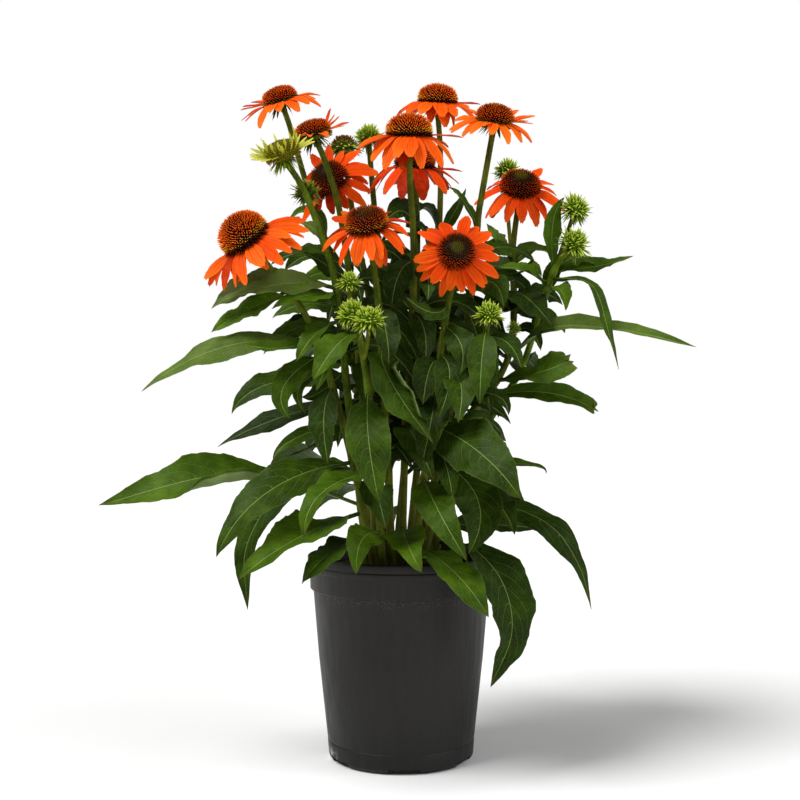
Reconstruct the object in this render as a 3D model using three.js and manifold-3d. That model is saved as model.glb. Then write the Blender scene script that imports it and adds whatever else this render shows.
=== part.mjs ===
// A coneflower (Echinacea) in bloom, in its nursery pot.
// Millimetres, +Z up, front of the plant at -Y. The origin is the centre of the pot's base.
import * as THREE from "three";
import { mergeVertices } from "three/addons/utils/BufferGeometryUtils.js";
import Module from "manifold-3d";

const wasm = await Module();
wasm.setup();

// ---------- driving dimensions ----------

const GAP = 0.3; // between solids that touch
const Z_AXIS = new THREE.Vector3(0, 0, 1);

const POT = {
  height: 181,
  wall: 1.6,
  floor: 3,
  sides: 30,
  baseRadius: 62,
  foot: { radius: 65.4, height: 16.5, chamfer: 3.5, draft: 0.6, flare: 0.3 },
  groove: { depth: 0.7, rise: 0.8, top: 2.4, shoulder: 0.4 },
  body: { radius: 78.6, height: 150 },
  collar: { radius: 81.4, height: 168.5, ledge: 1.2, draft: 0.5 },
  lip: { radius: 83.8, bead: 1.2, draft: 0.5, ledge: 0.8 },
  inside: { above: 0.5, below: 1.5, collarDrop: 1 },
  slot: { count: 6, width: 28, height: 4.5, depth: 9, turn: 0.04 },
};

const SOIL = {
  edgeHeight: 164,
  crownHeight: 176,
  sides: 20,
  clear: 0.5, // round the pot's wall and the stems
  shoulder: { radius: 52, share: 0.6 },
  ledge: 1.5,
};
const ROOT_HEIGHT = 150; // where the stems end in the soil

const STEM = { sides: 5, step: 72, leastSteps: 5, radius: 3.3, swell: 1.12, taper: 0.86 };
const BRANCH = { sides: 4, radius: 1.9, steps: 4 };

const LEAF = {
  petiole: 0.1, // the stalk's share of the whole length
  petioleWidth: 3,
  petioleThickness: 2.4,
  thickness: 1.6,
  fold: 0.16,
  wave: 0.075,
  waves: 1.6,
  phaseStep: 1.9,
  widest: 0.41,
  rise: 0.78,
};
const LEAF_SECTIONS = [
  { upTo: 18, shares: [0, 0.34, 0.7] },
  { upTo: 32, shares: [0, 0.22, 0.46, 0.74] },
  { upTo: 60, shares: [0, 0.16, 0.36, 0.58, 0.8] },
];

const RECEPTACLE = { height: 4, share: 0.6, neck: 1.5, sides: 8 };
const BRACTS = { count: 8, length: 9, width: 3.6, thickness: 1.2, droop: 34, level: 0.6, rootShare: 0.5 };
const DISC = { share: 0.78, thickness: 2 };
const RAY = {
  thickness: 1.4,
  sections: [0.38, 0.74, 1],
  widths: [0.92, 1, 0.48],
  cup: 0.7,
  spread: 7, // degrees of droop between neighbours, at most
  lengthSpread: 0.06,
  bendShare: 0.9,
  tipShare: 0.75,
  reachOfBend: 0.3,
  lean: 0.8,
};
const RAY_SEEDS = { first: 101, step: 37 };
const CONE = { sides: 12, rings: 5, spike: 2.4, share: 0.9, shareInRaisedRays: 0.66, lowest: -18 };
const BUD = {
  sides: 8,
  rings: 3,
  coreShare: 0.7,
  heightShare: 1.15,
  spikeShare: 0.34,
  lowest: -50,
  sink: 0.15,
};

// Directions that the upper face of a leaf leans to.
const UP = [0, 0, 1];
const FRONT_UP = [0, -1, 1];
const FRONT = [0, -1, 0.35];
const LEFT_FRONT = [-0.5, -1, 0.6];
const RIGHT_FRONT = [0.5, -1, 0.6];
const BACK_UP = [0, 0.6, 1];

// A leaf grows from its stem at the height `at`, and its midrib passes through the points of `rib`.
const leaf = (at, rib, width, face = FRONT_UP, petiole = LEAF.petiole) => ({ at, rib, width, face, petiole });

// A bud on a side shoot that leaves the stem at the height `at`.
const sideBud = (at, shoot, radius) => ({ at, shoot, radius });

// The stems, each with its route from the soil up, its leaves, its end bud if it has one, and its side buds.
const STEMS = {
  a: {
    route: [
      [-27, 18, 186], [-36, 30, 291], [-52, 46, 402], [-74, 62, 478],
      [-91, 64, 528], [-105, 62, 577], [-112, 56, 597],
    ],
    leaves: [
      leaf(466, [[-77, 56, 492], [-93, 52, 497], [-110, 46, 482]], 10, UP),
      leaf(450, [[-97, 66, 458], [-124, 68, 448]], 22),
      leaf(400, [[-85, 30, 408], [-118, 20, 394]], 27),
      leaf(374, [[-88, 26, 386], [-124, 14, 366]], 28),
      leaf(330, [[-86, 66, 345], [-118, 90, 325]], 24, BACK_UP),
      leaf(342, [[-118, 6, 334], [-153, 4, 306]], 35),
      leaf(291, [[-91, 4, 272], [-100, 0, 270]], 9, UP),
      leaf(258, [[-99, -4, 244], [-136, -20, 191], [-135, -26, 134]], 32, LEFT_FRONT),
      leaf(240, [[-95, 92, 262], [-140, 150, 225]], 34, BACK_UP),
      leaf(350, [[-80, 95, 372], [-105, 140, 345]], 26, BACK_UP),
    ],
  },
  b: {
    route: [
      [-22, -8, 187], [-31, -20, 292], [-43, -26, 407], [-54, -28, 485], [-67, -30, 529], [-75, -30, 547],
    ],
    leaves: [
      leaf(424, [[-68, -44, 438], [-85, -56, 446]], 14, LEFT_FRONT),
      leaf(350, [[-30, -58, 345], [-30, -80, 310]], 24, FRONT),
    ],
  },
  c: {
    route: [
      [-31, -22, 185], [-43, -40, 293], [-56, -52, 414], [-65, -54, 450], [-83, -58, 498], [-99, -61, 523],
    ],
    leaves: [
      leaf(227, [[-97, -38, 249], [-162, -62, 254], [-256, -70, 230]], 39, FRONT_UP, 0.3),
      leaf(400, [[-84, -50, 412], [-112, -56, 404]], 20, UP),
      leaf(370, [[-84, -54, 382], [-118, -56, 358]], 25),
      leaf(454, [[-76, -60, 466], [-86, -56, 470]], 9),
      leaf(385, [[-57, -84, 362], [-70, -98, 326]], 25, LEFT_FRONT),
      leaf(345, [[-71, -50, 325], [-86, -54, 322]], 17, FRONT),
      leaf(319, [[-110, -34, 302], [-160, -38, 278]], 23),
      leaf(221, [[-84, -118, 207], [-130, -134, 176]], 44, LEFT_FRONT, 0.2),
    ],
    buds: [sideBud(488, [[-82, -66, 492], [-81, -72, 499]], 5)],
  },
  e: {
    route: [[-15, 6, 185], [-25, 12, 292], [-30, 52, 410], [-44, 64, 483], [-54, 65, 557]],
    bud: 14,
    leaves: [
      leaf(400, [[-78, 84, 420], [-98, 108, 400]], 22, BACK_UP),
      leaf(440, [[-22, 28, 438], [-14, 4, 410]], 26, FRONT),
      leaf(370, [[-20, 12, 376], [-14, -10, 352]], 26, FRONT),
    ],
  },
  f: {
    route: [[-8, -30, 179], [-13, -58, 293], [-18, -70, 387], [-24, -74, 437], [-28, -76, 460]],
    leaves: [
      leaf(400, [[-12, -94, 373], [-10, -104, 347]], 24, FRONT),
      leaf(361, [[-8, -110, 333], [26, -124, 284]], 36, RIGHT_FRONT),
    ],
  },
  g: {
    route: [[-16, 22, 186], [-25, 34, 291], [-43, 40, 412], [-54, 38, 478], [-62, 28, 517]],
    leaves: [
      leaf(396, [[-5, 24, 392], [2, 20, 372]], 18),
      leaf(440, [[-80, 25, 452], [-106, 12, 436]], 24),
      leaf(422, [[-66, 8, 434], [-90, -6, 424]], 23),
      leaf(345, [[-62, 5, 352], [-78, -16, 325]], 28, LEFT_FRONT),
      leaf(200, [[-20, 115, 205], [-25, 175, 150]], 36, BACK_UP),
      leaf(280, [[-72, 110, 290], [-98, 165, 255]], 30, BACK_UP),
    ],
  },
  h: {
    route: [[-25, -34, 181], [-48, -60, 293], [-75, -72, 379], [-100, -78, 417], [-125, -80, 448]],
    leaves: [
      leaf(363, [[-144, -74, 365], [-216, -88, 326]], 28),
      leaf(407, [[-128, -66, 396], [-160, -74, 376]], 24),
      leaf(414, [[-117, -66, 421], [-160, -74, 396]], 27),
      leaf(358, [[-98, -84, 330], [-92, -86, 303]], 22, FRONT),
      leaf(330, [[-64, -88, 305], [-60, -96, 265]], 26, LEFT_FRONT),
      leaf(345, [[-86, -72, 329], [-80, -74, 307]], 10, FRONT),
      leaf(300, [[-92, -76, 285], [-107, -84, 268]], 13, FRONT),
      leaf(266, [[-108, -112, 244], [-148, -128, 193]], 42, LEFT_FRONT),
      leaf(201, [[-58, -110, 194], [-80, -122, 171]], 38, LEFT_FRONT, 0.2),
    ],
  },
  i: {
    route: [[11, -28, 179], [25, -58, 293], [36, -66, 378], [43, -66, 416], [46, -72, 441]],
    leaves: [
      leaf(192, [[44, -110, 178], [71, -116, 143]], 38, RIGHT_FRONT, 0.2),
      leaf(251, [[31, -122, 228], [53, -132, 190]], 31, FRONT),
      leaf(298, [[64, -122, 276], [95, -146, 240]], 47, FRONT),
      leaf(340, [[48, -98, 335], [46, -118, 300]], 29, FRONT),
      leaf(352, [[24, -80, 345], [18, -98, 315]], 26, FRONT),
      leaf(382, [[50, -90, 364], [48, -102, 340]], 24, FRONT),
    ],
  },
  j: {
    route: [
      [1, -6, 183], [4, -14, 292], [9, -30, 380], [11, -38, 424],
      [10, -43, 476], [8, -45, 500], [7, -45, 543],
    ],
    leaves: [
      leaf(205, [[6, -112, 200], [17, -122, 180]], 36, FRONT, 0.2),
      leaf(299, [[15, -96, 280], [27, -104, 252]], 30, FRONT),
      leaf(396, [[20, -58, 378], [20, -72, 348]], 20, FRONT),
      leaf(440, [[-2, -56, 426], [-8, -64, 396]], 24, FRONT),
      leaf(430, [[22, -62, 425], [22, -84, 402]], 20, FRONT),
    ],
  },
  k: {
    route: [[-3, 14, 187], [6, 24, 291], [14, 34, 412], [15, 40, 487], [12, 41, 532]],
    leaves: [
      leaf(475, [[2, 22, 492], [-14, 6, 480]], 25, FRONT),
      leaf(430, [[-10, 20, 455], [-22, 0, 440]], 26, FRONT),
      leaf(370, [[12, 4, 352], [10, 0, 318]], 28, FRONT),
      leaf(300, [[-8, 4, 285], [-10, -10, 250]], 22, FRONT),
      leaf(395, [[30, 0, 405], [42, -22, 385]], 24),
    ],
  },
  l: {
    route: [[8, 26, 187], [20, 46, 300], [33, 68, 413], [38, 89, 509], [38, 90, 563], [35, 85, 602]],
    leaves: [
      leaf(475, [[53, 72, 502], [62, 66, 521]], 12, RIGHT_FRONT),
      leaf(480, [[24, 64, 500], [8, 50, 490]], 20),
      leaf(450, [[20, 30, 475], [22, 2, 470]], 20, FRONT),
      leaf(410, [[62, 30, 425], [82, 4, 408]], 28, RIGHT_FRONT),
      leaf(235, [[60, 125, 250], [90, 195, 205]], 38, BACK_UP),
      leaf(325, [[45, 110, 350], [40, 160, 320]], 26, BACK_UP),
      leaf(300, [[80, 115, 325], [100, 165, 300]], 30, BACK_UP),
      leaf(390, [[70, 115, 405], [105, 155, 380]], 24, BACK_UP),
      leaf(430, [[20, 110, 450], [5, 145, 430]], 18, BACK_UP),
    ],
  },
  m: {
    route: [[17, 4, 182], [40, -2, 292], [58, -12, 381], [68, -18, 477], [71, -20, 498], [82, -20, 561]],
    leaves: [
      leaf(360, [[46, -30, 370], [38, -46, 345]], 24, FRONT),
      leaf(330, [[68, -48, 332], [76, -64, 308]], 25, FRONT),
      leaf(398, [[72, -48, 352], [77, -60, 316]], 27, FRONT),
      leaf(380, [[89, -26, 372], [105, -30, 350]], 13),
      leaf(420, [[80, -45, 420], [88, -58, 398]], 26, FRONT),
      leaf(472, [[54, 0, 501], [41, 10, 513]], 11, UP),
    ],
  },
  n: {
    route: [
      [20, -14, 180], [55, 0, 292], [87, 12, 336], [101, 20, 369],
      [104, 28, 411], [104, 38, 458], [111, 44, 512],
    ],
    leaves: [
      leaf(228, [[74, -40, 235], [96, -72, 205]], 34, RIGHT_FRONT),
      leaf(231, [[97, -22, 224], [134, -38, 206], [156, -44, 171], [165, -44, 137]], 28, RIGHT_FRONT),
      leaf(261, [[113, 0, 261], [130, 0, 252]], 15),
      leaf(380, [[118, 20, 383], [128, 20, 364]], 13),
      leaf(419, [[114, -14, 408], [134, -24, 384]], 31),
      leaf(398, [[88, 2, 410], [74, -8, 388]], 24, FRONT),
      leaf(361, [[134, -14, 383], [196, -30, 380], [257, -40, 365]], 18),
      leaf(450, [[87, 10, 465], [77, 0, 478]], 17, RIGHT_FRONT),
      leaf(430, [[116, 8, 439], [127, 2, 430]], 20),
      leaf(440, [[119, 40, 458], [144, 44, 455]], 16),
      leaf(338, [[118, -22, 342], [149, -30, 354]], 30),
      leaf(320, [[124, -10, 326], [169, -16, 312]], 25),
    ],
    buds: [
      sideBud(374, [[99, 8, 378], [101, 0, 383]], 6),
      sideBud(410, [[106, 70, 450], [104, 96, 505], [104, 98, 540]], 12),
    ],
  },
  p: {
    route: [[26, 12, 184], [71, 24, 282], [109, 20, 346], [126, 6, 400], [139, 0, 438], [152, -16, 456]],
    bud: 13,
    leaves: [
      leaf(205, [[100, 30, 203], [130, 34, 198]], 24),
      leaf(429, [[167, -30, 420], [181, -40, 375], [189, -42, 345]], 11, RIGHT_FRONT),
      leaf(436, [[181, 10, 441], [211, 10, 450]], 19),
      leaf(435, [[136, -6, 477], [147, -4, 501]], 18, RIGHT_FRONT),
      leaf(422, [[108, -26, 433], [84, -36, 434]], 18),
      leaf(415, [[141, -12, 418], [146, -18, 398]], 18, RIGHT_FRONT),
      leaf(230, [[90, 75, 240], [125, 110, 205]], 32, BACK_UP),
      leaf(340, [[120, 80, 360], [140, 115, 335]], 24, BACK_UP),
    ],
    buds: [sideBud(432, [[148, 2, 464], [155, -6, 487]], 13)],
  },
  r: {
    route: [[30, -26, 180], [48, -48, 295], [66, -72, 353], [73, -86, 388]],
    bud: 9,
    leaves: [
      leaf(325, [[82, -72, 322], [90, -80, 306]], 14, RIGHT_FRONT),
      leaf(261, [[66, -72, 230], [56, -84, 190]], 38, FRONT),
      leaf(195, [[60, -62, 193], [84, -87, 167], [91, -96, 127], [74, -92, 81]], 42, RIGHT_FRONT, 0.2),
    ],
  },
  t: {
    route: [[-10, 32, 190], [-12, 56, 291], [-16, 68, 414], [-26, 78, 509], [-31, 80, 568]],
    bud: 13,
    leaves: [
      leaf(470, [[0, 78, 480], [16, 70, 468]], 18, UP),
      leaf(215, [[-60, 120, 235], [-100, 185, 190]], 36, BACK_UP),
      leaf(300, [[-30, 135, 325], [-50, 200, 290]], 30, BACK_UP),
      leaf(360, [[5, 125, 375], [25, 175, 345]], 26, BACK_UP),
      leaf(420, [[-50, 115, 430], [-70, 160, 405]], 22, BACK_UP),
    ],
  },
  u: {
    route: [[-16, -44, 178], [-24, -84, 294], [-32, -102, 360], [-39, -112, 386]],
    bud: 12,
    leaves: [
      leaf(205, [[-32, -112, 205], [-36, -122, 178]], 28, FRONT, 0.2),
      leaf(240, [[-20, -102, 245], [-12, -124, 215]], 28, FRONT),
      leaf(326, [[-26, -128, 287], [-17, -136, 237]], 36, FRONT),
      leaf(374, [[-51, -128, 363], [-70, -136, 334]], 28, LEFT_FRONT),
      leaf(258, [[-62, -146, 246], [-76, -150, 211]], 29, LEFT_FRONT),
    ],
    buds: [
      sideBud(352, [[-27, -118, 368], [-26, -125, 380]], 12),
      sideBud(372, [[-42, -94, 400], [-43, -95, 415]], 8.5),
    ],
  },
};

// A bloom sits on the end of its stem and opens along its axis. `cone` is the cone's radius and height.
// The rays leave the disc at the droop angle, and their tips hang by `sag` below that.
const bloom = (axis, cone, count, length, width, droop, sag, colour = "orange") => {
  return { axis, cone, rays: { count, length, width, droop, sag }, colour };
};
const BLOOMS = {
  a: bloom([-0.25, -0.3, 0.92], [16.5, 14], 13, 25, 11, 22, 3),
  b: bloom([-0.15, -0.2, 1], [14.5, 13], 11, 20, 9, -2, 1),
  c: bloom([-0.3, -0.3, 0.9], [15, 12], 15, 17, 5.5, -24, 0, "green"),
  f: bloom([-0.12, -0.52, 0.85], [17.5, 15], 14, 29, 12, 26, 4),
  g: bloom([-0.35, -0.75, 0.55], [16.5, 14], 13, 31, 12.5, 14, 2),
  h: bloom([-0.56, -0.36, 0.76], [22, 23], 15, 37, 13, 27, 5),
  i: bloom([0.05, -0.95, 0.3], [15.5, 12], 15, 24, 10.4, 9, 1),
  j: bloom([0, -0.22, 0.98], [20, 18], 14, 36, 13.5, 38, 3),
  k: bloom([0.1, -0.2, 1], [19, 16], 14, 36, 13, 34, 3),
  l: bloom([0.05, -0.25, 0.97], [19, 15], 13, 31, 13, 32, 3),
  m: bloom([0.1, -0.35, 0.93], [16, 14], 13, 28, 11.5, 22, 3),
  n: bloom([0, -0.62, 0.78], [17.5, 14], 14, 31, 12, 22, 2),
};

// ---------- geometry helpers ----------

const vector = ([x, y, z]) => new THREE.Vector3(x, y, z);
const radians = THREE.MathUtils.degToRad;

// A seeded random draw between -1 and 1, by the minimal standard generator.
function seededDraw(seed) {
  const factor = 7 ** 5;
  const modulus = 2 ** 31 - 1;
  let state = seed;
  return () => {
    state = (state * factor) % modulus;
    return (state / modulus) * 2 - 1;
  };
}

// The sum of a point and multiples of directions.
function offset(point, ...steps) {
  const moved = point.clone();
  for (const [direction, length] of steps) moved.addScaledVector(direction, length);
  return moved;
}

function meshOf(points, faces) {
  const geometry = new THREE.BufferGeometry();
  geometry.setAttribute("position", new THREE.Float32BufferAttribute(points.flatMap((p) => p.toArray()), 3));
  geometry.setIndex(faces);
  return geometry;
}

function solidOf(geometry) {
  const tolerance = 1e-4;
  const bare = geometry.clone();
  bare.deleteAttribute("normal");
  bare.deleteAttribute("uv");
  const merged = mergeVertices(bare, tolerance);
  return new wasm.Manifold(
    new wasm.Mesh({
      numProp: 3,
      vertProperties: merged.attributes.position.array,
      triVerts: new Uint32Array(merged.index.array),
    }),
  );
}

function geometryOf(solid) {
  const mesh = solid.getMesh();
  const geometry = new THREE.BufferGeometry();
  geometry.setAttribute("position", new THREE.BufferAttribute(mesh.vertProperties, 3));
  geometry.setIndex(new THREE.BufferAttribute(mesh.triVerts, 1));
  return geometry;
}

function fuse(geometries) {
  return geometries.map(solidOf).reduce((whole, piece) => whole.add(piece));
}

// The faces between two rings of vertex numbers. On a flat ring (left edge, upper middle, right edge,
// lower middle) the diagonals run alike on both faces, from the edges to the middle.
function band(ring, next) {
  return ring.flatMap((a, k) => {
    const b = ring[(k + 1) % ring.length];
    const c = next[k];
    const d = next[(k + 1) % ring.length];
    return k % 2 ? [a, b, c, b, d, c] : [a, b, d, a, d, c];
  });
}

function fan(ring) {
  return ring.slice(2).flatMap((corner, k) => [ring[0], ring[k + 1], corner]);
}

// A closed skin over rings of points, capped at the start, and capped or pointed at the end.
function loft(rings, tip) {
  const points = rings.flat();
  const sides = rings[0].length;
  const numbers = rings.map((ring, r) => ring.map((_, k) => r * sides + k));
  const faces = numbers.slice(1).flatMap((ring, r) => band(numbers[r], ring));
  faces.push(...fan(numbers[0].toReversed()));
  const last = numbers.at(-1);
  if (tip) {
    points.push(tip);
    last.forEach((a, k) => faces.push(a, last[(k + 1) % sides], points.length - 1));
  } else {
    faces.push(...fan(last));
  }
  return meshOf(points, faces);
}

// The middle, tangent, upper-face normal and right-hand side of a path at t. The normal leans to `face`.
function frameAt(path, t, face) {
  const tangent = path.getTangentAt(t);
  const normal = offset(face, [tangent, -face.dot(tangent)]).normalize();
  const side = new THREE.Vector3().crossVectors(tangent, normal);
  return { centre: path.getPointAt(t), tangent, normal, side };
}

// A ring of a thin blade: its left edge, upper middle, right edge and lower middle.
function bladeRing({ centre, normal, side }, { half, thick, left, right }) {
  return [
    offset(centre, [side, -half], [normal, left]),
    offset(centre, [normal, thick / 2]),
    offset(centre, [side, half], [normal, right]),
    offset(centre, [normal, -thick / 2]),
  ];
}

function tube(path, radiusAt, sides, steps, extra = 0) {
  const face = new THREE.Vector3(0.03, 1, 0.02);
  const rings = Array.from({ length: steps + 1 }, (_, i) => {
    const { centre, tangent, normal, side } = frameAt(path, i / steps, face);
    if (i === 0) centre.addScaledVector(tangent, -extra);
    const radius = radiusAt(i / steps);
    return Array.from({ length: sides }, (_, k) => {
      const angle = (2 * Math.PI * k) / sides;
      return offset(centre, [side, -radius * Math.cos(angle)], [normal, radius * Math.sin(angle)]);
    });
  });
  return loft(rings);
}

// A curve through a root and the points that follow it: one arc through three points, or a spline.
function curveThrough(points) {
  if (points.length > 3) return new THREE.CatmullRomCurve3(points, false, "catmullrom", 0.5);
  const [start, belly, end] = points;
  const control = offset(belly, [belly, 1], [start, -0.5], [end, -0.5]);
  return new THREE.QuadraticBezierCurve3(start, control, end);
}

// The point at a height inside a stem, on the straight stretches that its tube is made of.
function pointAtHeight(path, height) {
  const steps = stemSteps(path);
  const spine = Array.from({ length: steps + 1 }, (_, i) => path.getPointAt(i / steps));
  const next = spine.findIndex((point) => point.z > height);
  const share = (height - spine[next - 1].z) / (spine[next].z - spine[next - 1].z);
  return spine[next - 1].clone().lerp(spine[next], share);
}

// A dome whose vertices stand out by turns, so that it is covered in spikes. It starts below its widest
// place, at the angle `lowest`, and has a flat base at z = 0.
function spikyDome(radius, height, sides, rings, spike, lowest) {
  const openingAtTop = 0.6; // of the step between two rings
  const leastRise = 0.35; // of a spike's length
  const base = Math.sin(radians(lowest));
  const points = [new THREE.Vector3(0, 0, 0)];
  for (let r = 0; r <= rings; r++) {
    const slope = radians(lowest + ((90 - lowest) * r) / (rings + openingAtTop));
    const lift = (height * (Math.sin(slope) - base)) / (1 - base);
    for (let k = 0; k < sides; k++) {
      const angle = (2 * Math.PI * k) / sides;
      const raised = r > 0 && (r + k) % 2 ? spike : 0;
      const reach = (radius + raised) * Math.cos(slope);
      const rise = raised * Math.max(leastRise, Math.sin(slope));
      points.push(new THREE.Vector3(reach * Math.cos(angle), reach * Math.sin(angle), lift + rise));
    }
  }
  points.push(new THREE.Vector3(0, 0, height));
  const faces = [];
  for (let k = 0; k < sides; k++) {
    const next = (k + 1) % sides;
    faces.push(0, 1 + next, 1 + k);
    for (let r = 0; r < rings; r++) {
      const a = 1 + r * sides + k;
      const b = 1 + r * sides + next;
      if ((r + k) % 2) faces.push(a, b, b + sides, a, b + sides, a + sides);
      else faces.push(a, b, a + sides, b, b + sides, a + sides);
    }
    faces.push(1 + rings * sides + k, 1 + rings * sides + next, points.length - 1);
  }
  return meshOf(points, faces);
}

// Turns a geometry made along +Z to an axis and moves it to a point.
function place(geometry, origin, axis) {
  const turn = new THREE.Quaternion().setFromUnitVectors(Z_AXIS, axis);
  return geometry.applyQuaternion(turn).translate(origin.x, origin.y, origin.z);
}

// The direction at an angle round an axis.
function directionRound(axis, angle) {
  const turn = new THREE.Quaternion().setFromUnitVectors(Z_AXIS, axis);
  return new THREE.Vector3(Math.cos(angle), Math.sin(angle), 0).applyQuaternion(turn);
}

function lathe(profile, sides) {
  const points = profile.map(([r, z]) => new THREE.Vector2(r, z));
  return new THREE.LatheGeometry(points, sides).rotateX(Math.PI / 2);
}

// ---------- pot and soil ----------

function innerRadius(height) {
  const { body, collar, foot, wall } = POT;
  if (height > body.height) return collar.radius - wall;
  return foot.radius + ((body.radius - foot.radius) * height) / body.height - wall;
}

function potGeometry() {
  const { height, floor, wall, baseRadius, foot, groove, body, collar, lip, inside, sides, slot } = POT;
  const outerWall = [
    [0, 0],
    [baseRadius, 0],
    [foot.radius - foot.draft, foot.chamfer],
    [foot.radius + foot.flare, foot.height],
    [foot.radius - groove.depth, foot.height + groove.rise],
    [foot.radius + groove.shoulder, foot.height + groove.top],
    [body.radius, body.height],
    [collar.radius, body.height + collar.ledge],
    [collar.radius + collar.draft, collar.height - lip.ledge],
    [lip.radius - lip.draft, collar.height],
    [lip.radius, height - lip.bead],
    [lip.radius - lip.bead, height],
  ];
  const innerWall = [
    [lip.radius - lip.bead - wall, height],
    [collar.radius - wall, collar.height - inside.collarDrop],
    [collar.radius - wall, body.height + inside.above],
    [innerRadius(body.height), body.height - inside.below],
    [innerRadius(floor), floor],
    [0, floor],
  ];
  let pot = solidOf(lathe([...outerWall, ...innerWall], sides));
  for (let i = 0; i < slot.count; i++) {
    const cutter = new THREE.BoxGeometry(slot.width, slot.depth, 2 * slot.height);
    cutter.translate(0, -(baseRadius + foot.radius) / 2, 0);
    cutter.rotateZ(((i + slot.turn) / slot.count) * 2 * Math.PI);
    pot = pot.subtract(solidOf(cutter));
  }
  return geometryOf(pot);
}

function soilGeometry() {
  const { floor, body, collar, wall } = POT;
  const { edgeHeight, crownHeight, sides, clear, shoulder, ledge } = SOIL;
  const profile = [
    [0, floor + GAP],
    [innerRadius(floor) - clear, floor + GAP],
    [innerRadius(body.height) - clear, body.height - ledge],
    [collar.radius - wall - clear, body.height + ledge],
    [collar.radius - wall - clear, edgeHeight],
    [shoulder.radius, edgeHeight + (crownHeight - edgeHeight) * shoulder.share],
    [0, crownHeight],
  ];
  let soil = solidOf(lathe(profile, sides));
  for (const stem of Object.values(STEMS)) {
    const path = stemPath(stem);
    const hole = tube(path, (t) => stemRadius(t) + clear, STEM.sides, stemSteps(path), clear);
    soil = soil.subtract(solidOf(hole));
  }
  return geometryOf(soil);
}

// ---------- stems, leaves and buds ----------

function stemPath(stem) {
  const [x, y] = stem.route[0];
  const points = [[x, y, ROOT_HEIGHT], ...stem.route].map(vector);
  return new THREE.CatmullRomCurve3(points, false, "catmullrom", 0.5);
}

const stemRadius = (t) => STEM.radius * (STEM.swell + (STEM.taper - STEM.swell) * t);
const stemSteps = (path) => Math.max(STEM.leastSteps, Math.round(path.getLength() / STEM.step));

// How wide a leaf is at the share s of its blade, against its widest place.
function leafWidthShare(s) {
  const { widest, rise } = LEAF;
  const fall = (rise * (1 - widest)) / widest;
  return (s ** rise * (1 - s) ** fall) / (widest ** rise * (1 - widest) ** fall);
}

function leafGeometry(root, { rib, width, face, petiole }, phase) {
  const path = curveThrough([root, ...rib.map(vector)]);
  const { shares } = LEAF_SECTIONS.find(({ upTo }) => width < upTo);
  const rings = [0, ...shares.map((s) => petiole + (1 - petiole) * s)].map((t) => {
    const s = Math.max(0, (t - petiole) / (1 - petiole));
    const half = Math.max(LEAF.petioleWidth / 2, (width / 2) * leafWidthShare(s));
    const swing = s > 0 ? LEAF.wave * width * Math.sin(2 * Math.PI * LEAF.waves * s + phase) : 0;
    const rise = half * LEAF.fold;
    const thick = s > 0 ? LEAF.thickness : LEAF.petioleThickness;
    const frame = frameAt(path, t, vector(face));
    return bladeRing(frame, { half, thick, left: rise + swing, right: rise - swing });
  });
  return loft(rings, path.getPointAt(1));
}

function budGeometry(centre, axis, radius) {
  const { sides, rings, coreShare, heightShare, spikeShare, lowest, sink } = BUD;
  const spike = radius * spikeShare;
  const dome = spikyDome(radius * coreShare, radius * heightShare, sides, rings, spike, lowest);
  return place(dome, offset(centre, [axis, -radius * sink]), axis);
}

function sideBudPieces(path, { at, shoot, radius }) {
  const way = curveThrough([pointAtHeight(path, at), ...shoot.map(vector)]);
  const stalk = tube(way, () => BRANCH.radius, BRANCH.sides, BRANCH.steps);
  return [stalk, budGeometry(way.getPointAt(1), way.getTangentAt(1), radius)];
}

// A pointed bract with a three-cornered foot.
function bractGeometry(root, tip, axis) {
  const { normal, side } = frameAt(new THREE.LineCurve3(root, tip), 0, axis);
  const foot = [
    offset(root, [side, -BRACTS.width / 2]),
    offset(root, [normal, BRACTS.thickness]),
    offset(root, [side, BRACTS.width / 2]),
  ];
  return loft([foot], tip);
}

// The green cup under a bloom, with a ring of bracts that bend down from it.
function receptaclePieces(centre, axis, coneRadius) {
  const { height, share, neck, sides } = RECEPTACLE;
  const { count, length, level, rootShare } = BRACTS;
  const cup = lathe([[0, -neck], [STEM.radius, -neck], [coneRadius * share, height], [0, height]], sides);
  const pieces = [place(cup, centre, axis)];
  const droop = radians(BRACTS.droop);
  const start = coneRadius * share * rootShare;
  for (let k = 0; k < count; k++) {
    const out = directionRound(axis, (2 * Math.PI * (k + 0.5)) / count);
    const root = offset(centre, [out, start], [axis, level]);
    const tip = offset(root, [out, length * Math.cos(droop)], [axis, -length * Math.sin(droop)]);
    pieces.push(bractGeometry(root, tip, axis));
  }
  return pieces;
}

function stemGeometry(name, stem) {
  const path = stemPath(stem);
  const end = path.getPointAt(1);
  const pieces = [tube(path, stemRadius, STEM.sides, stemSteps(path))];
  if (stem.bud) pieces.push(budGeometry(end, path.getTangentAt(1), stem.bud));
  const carried = BLOOMS[name];
  if (carried) pieces.push(...receptaclePieces(end, vector(carried.axis).normalize(), carried.cone[0]));
  stem.leaves.forEach((entry, index) => {
    pieces.push(leafGeometry(pointAtHeight(path, entry.at), entry, index * LEAF.phaseStep));
  });
  for (const bud of stem.buds ?? []) pieces.push(...sideBudPieces(path, bud));
  return geometryOf(fuse(pieces));
}

// ---------- blooms ----------

const discLevel = RECEPTACLE.height + GAP + DISC.thickness / 2;

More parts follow.
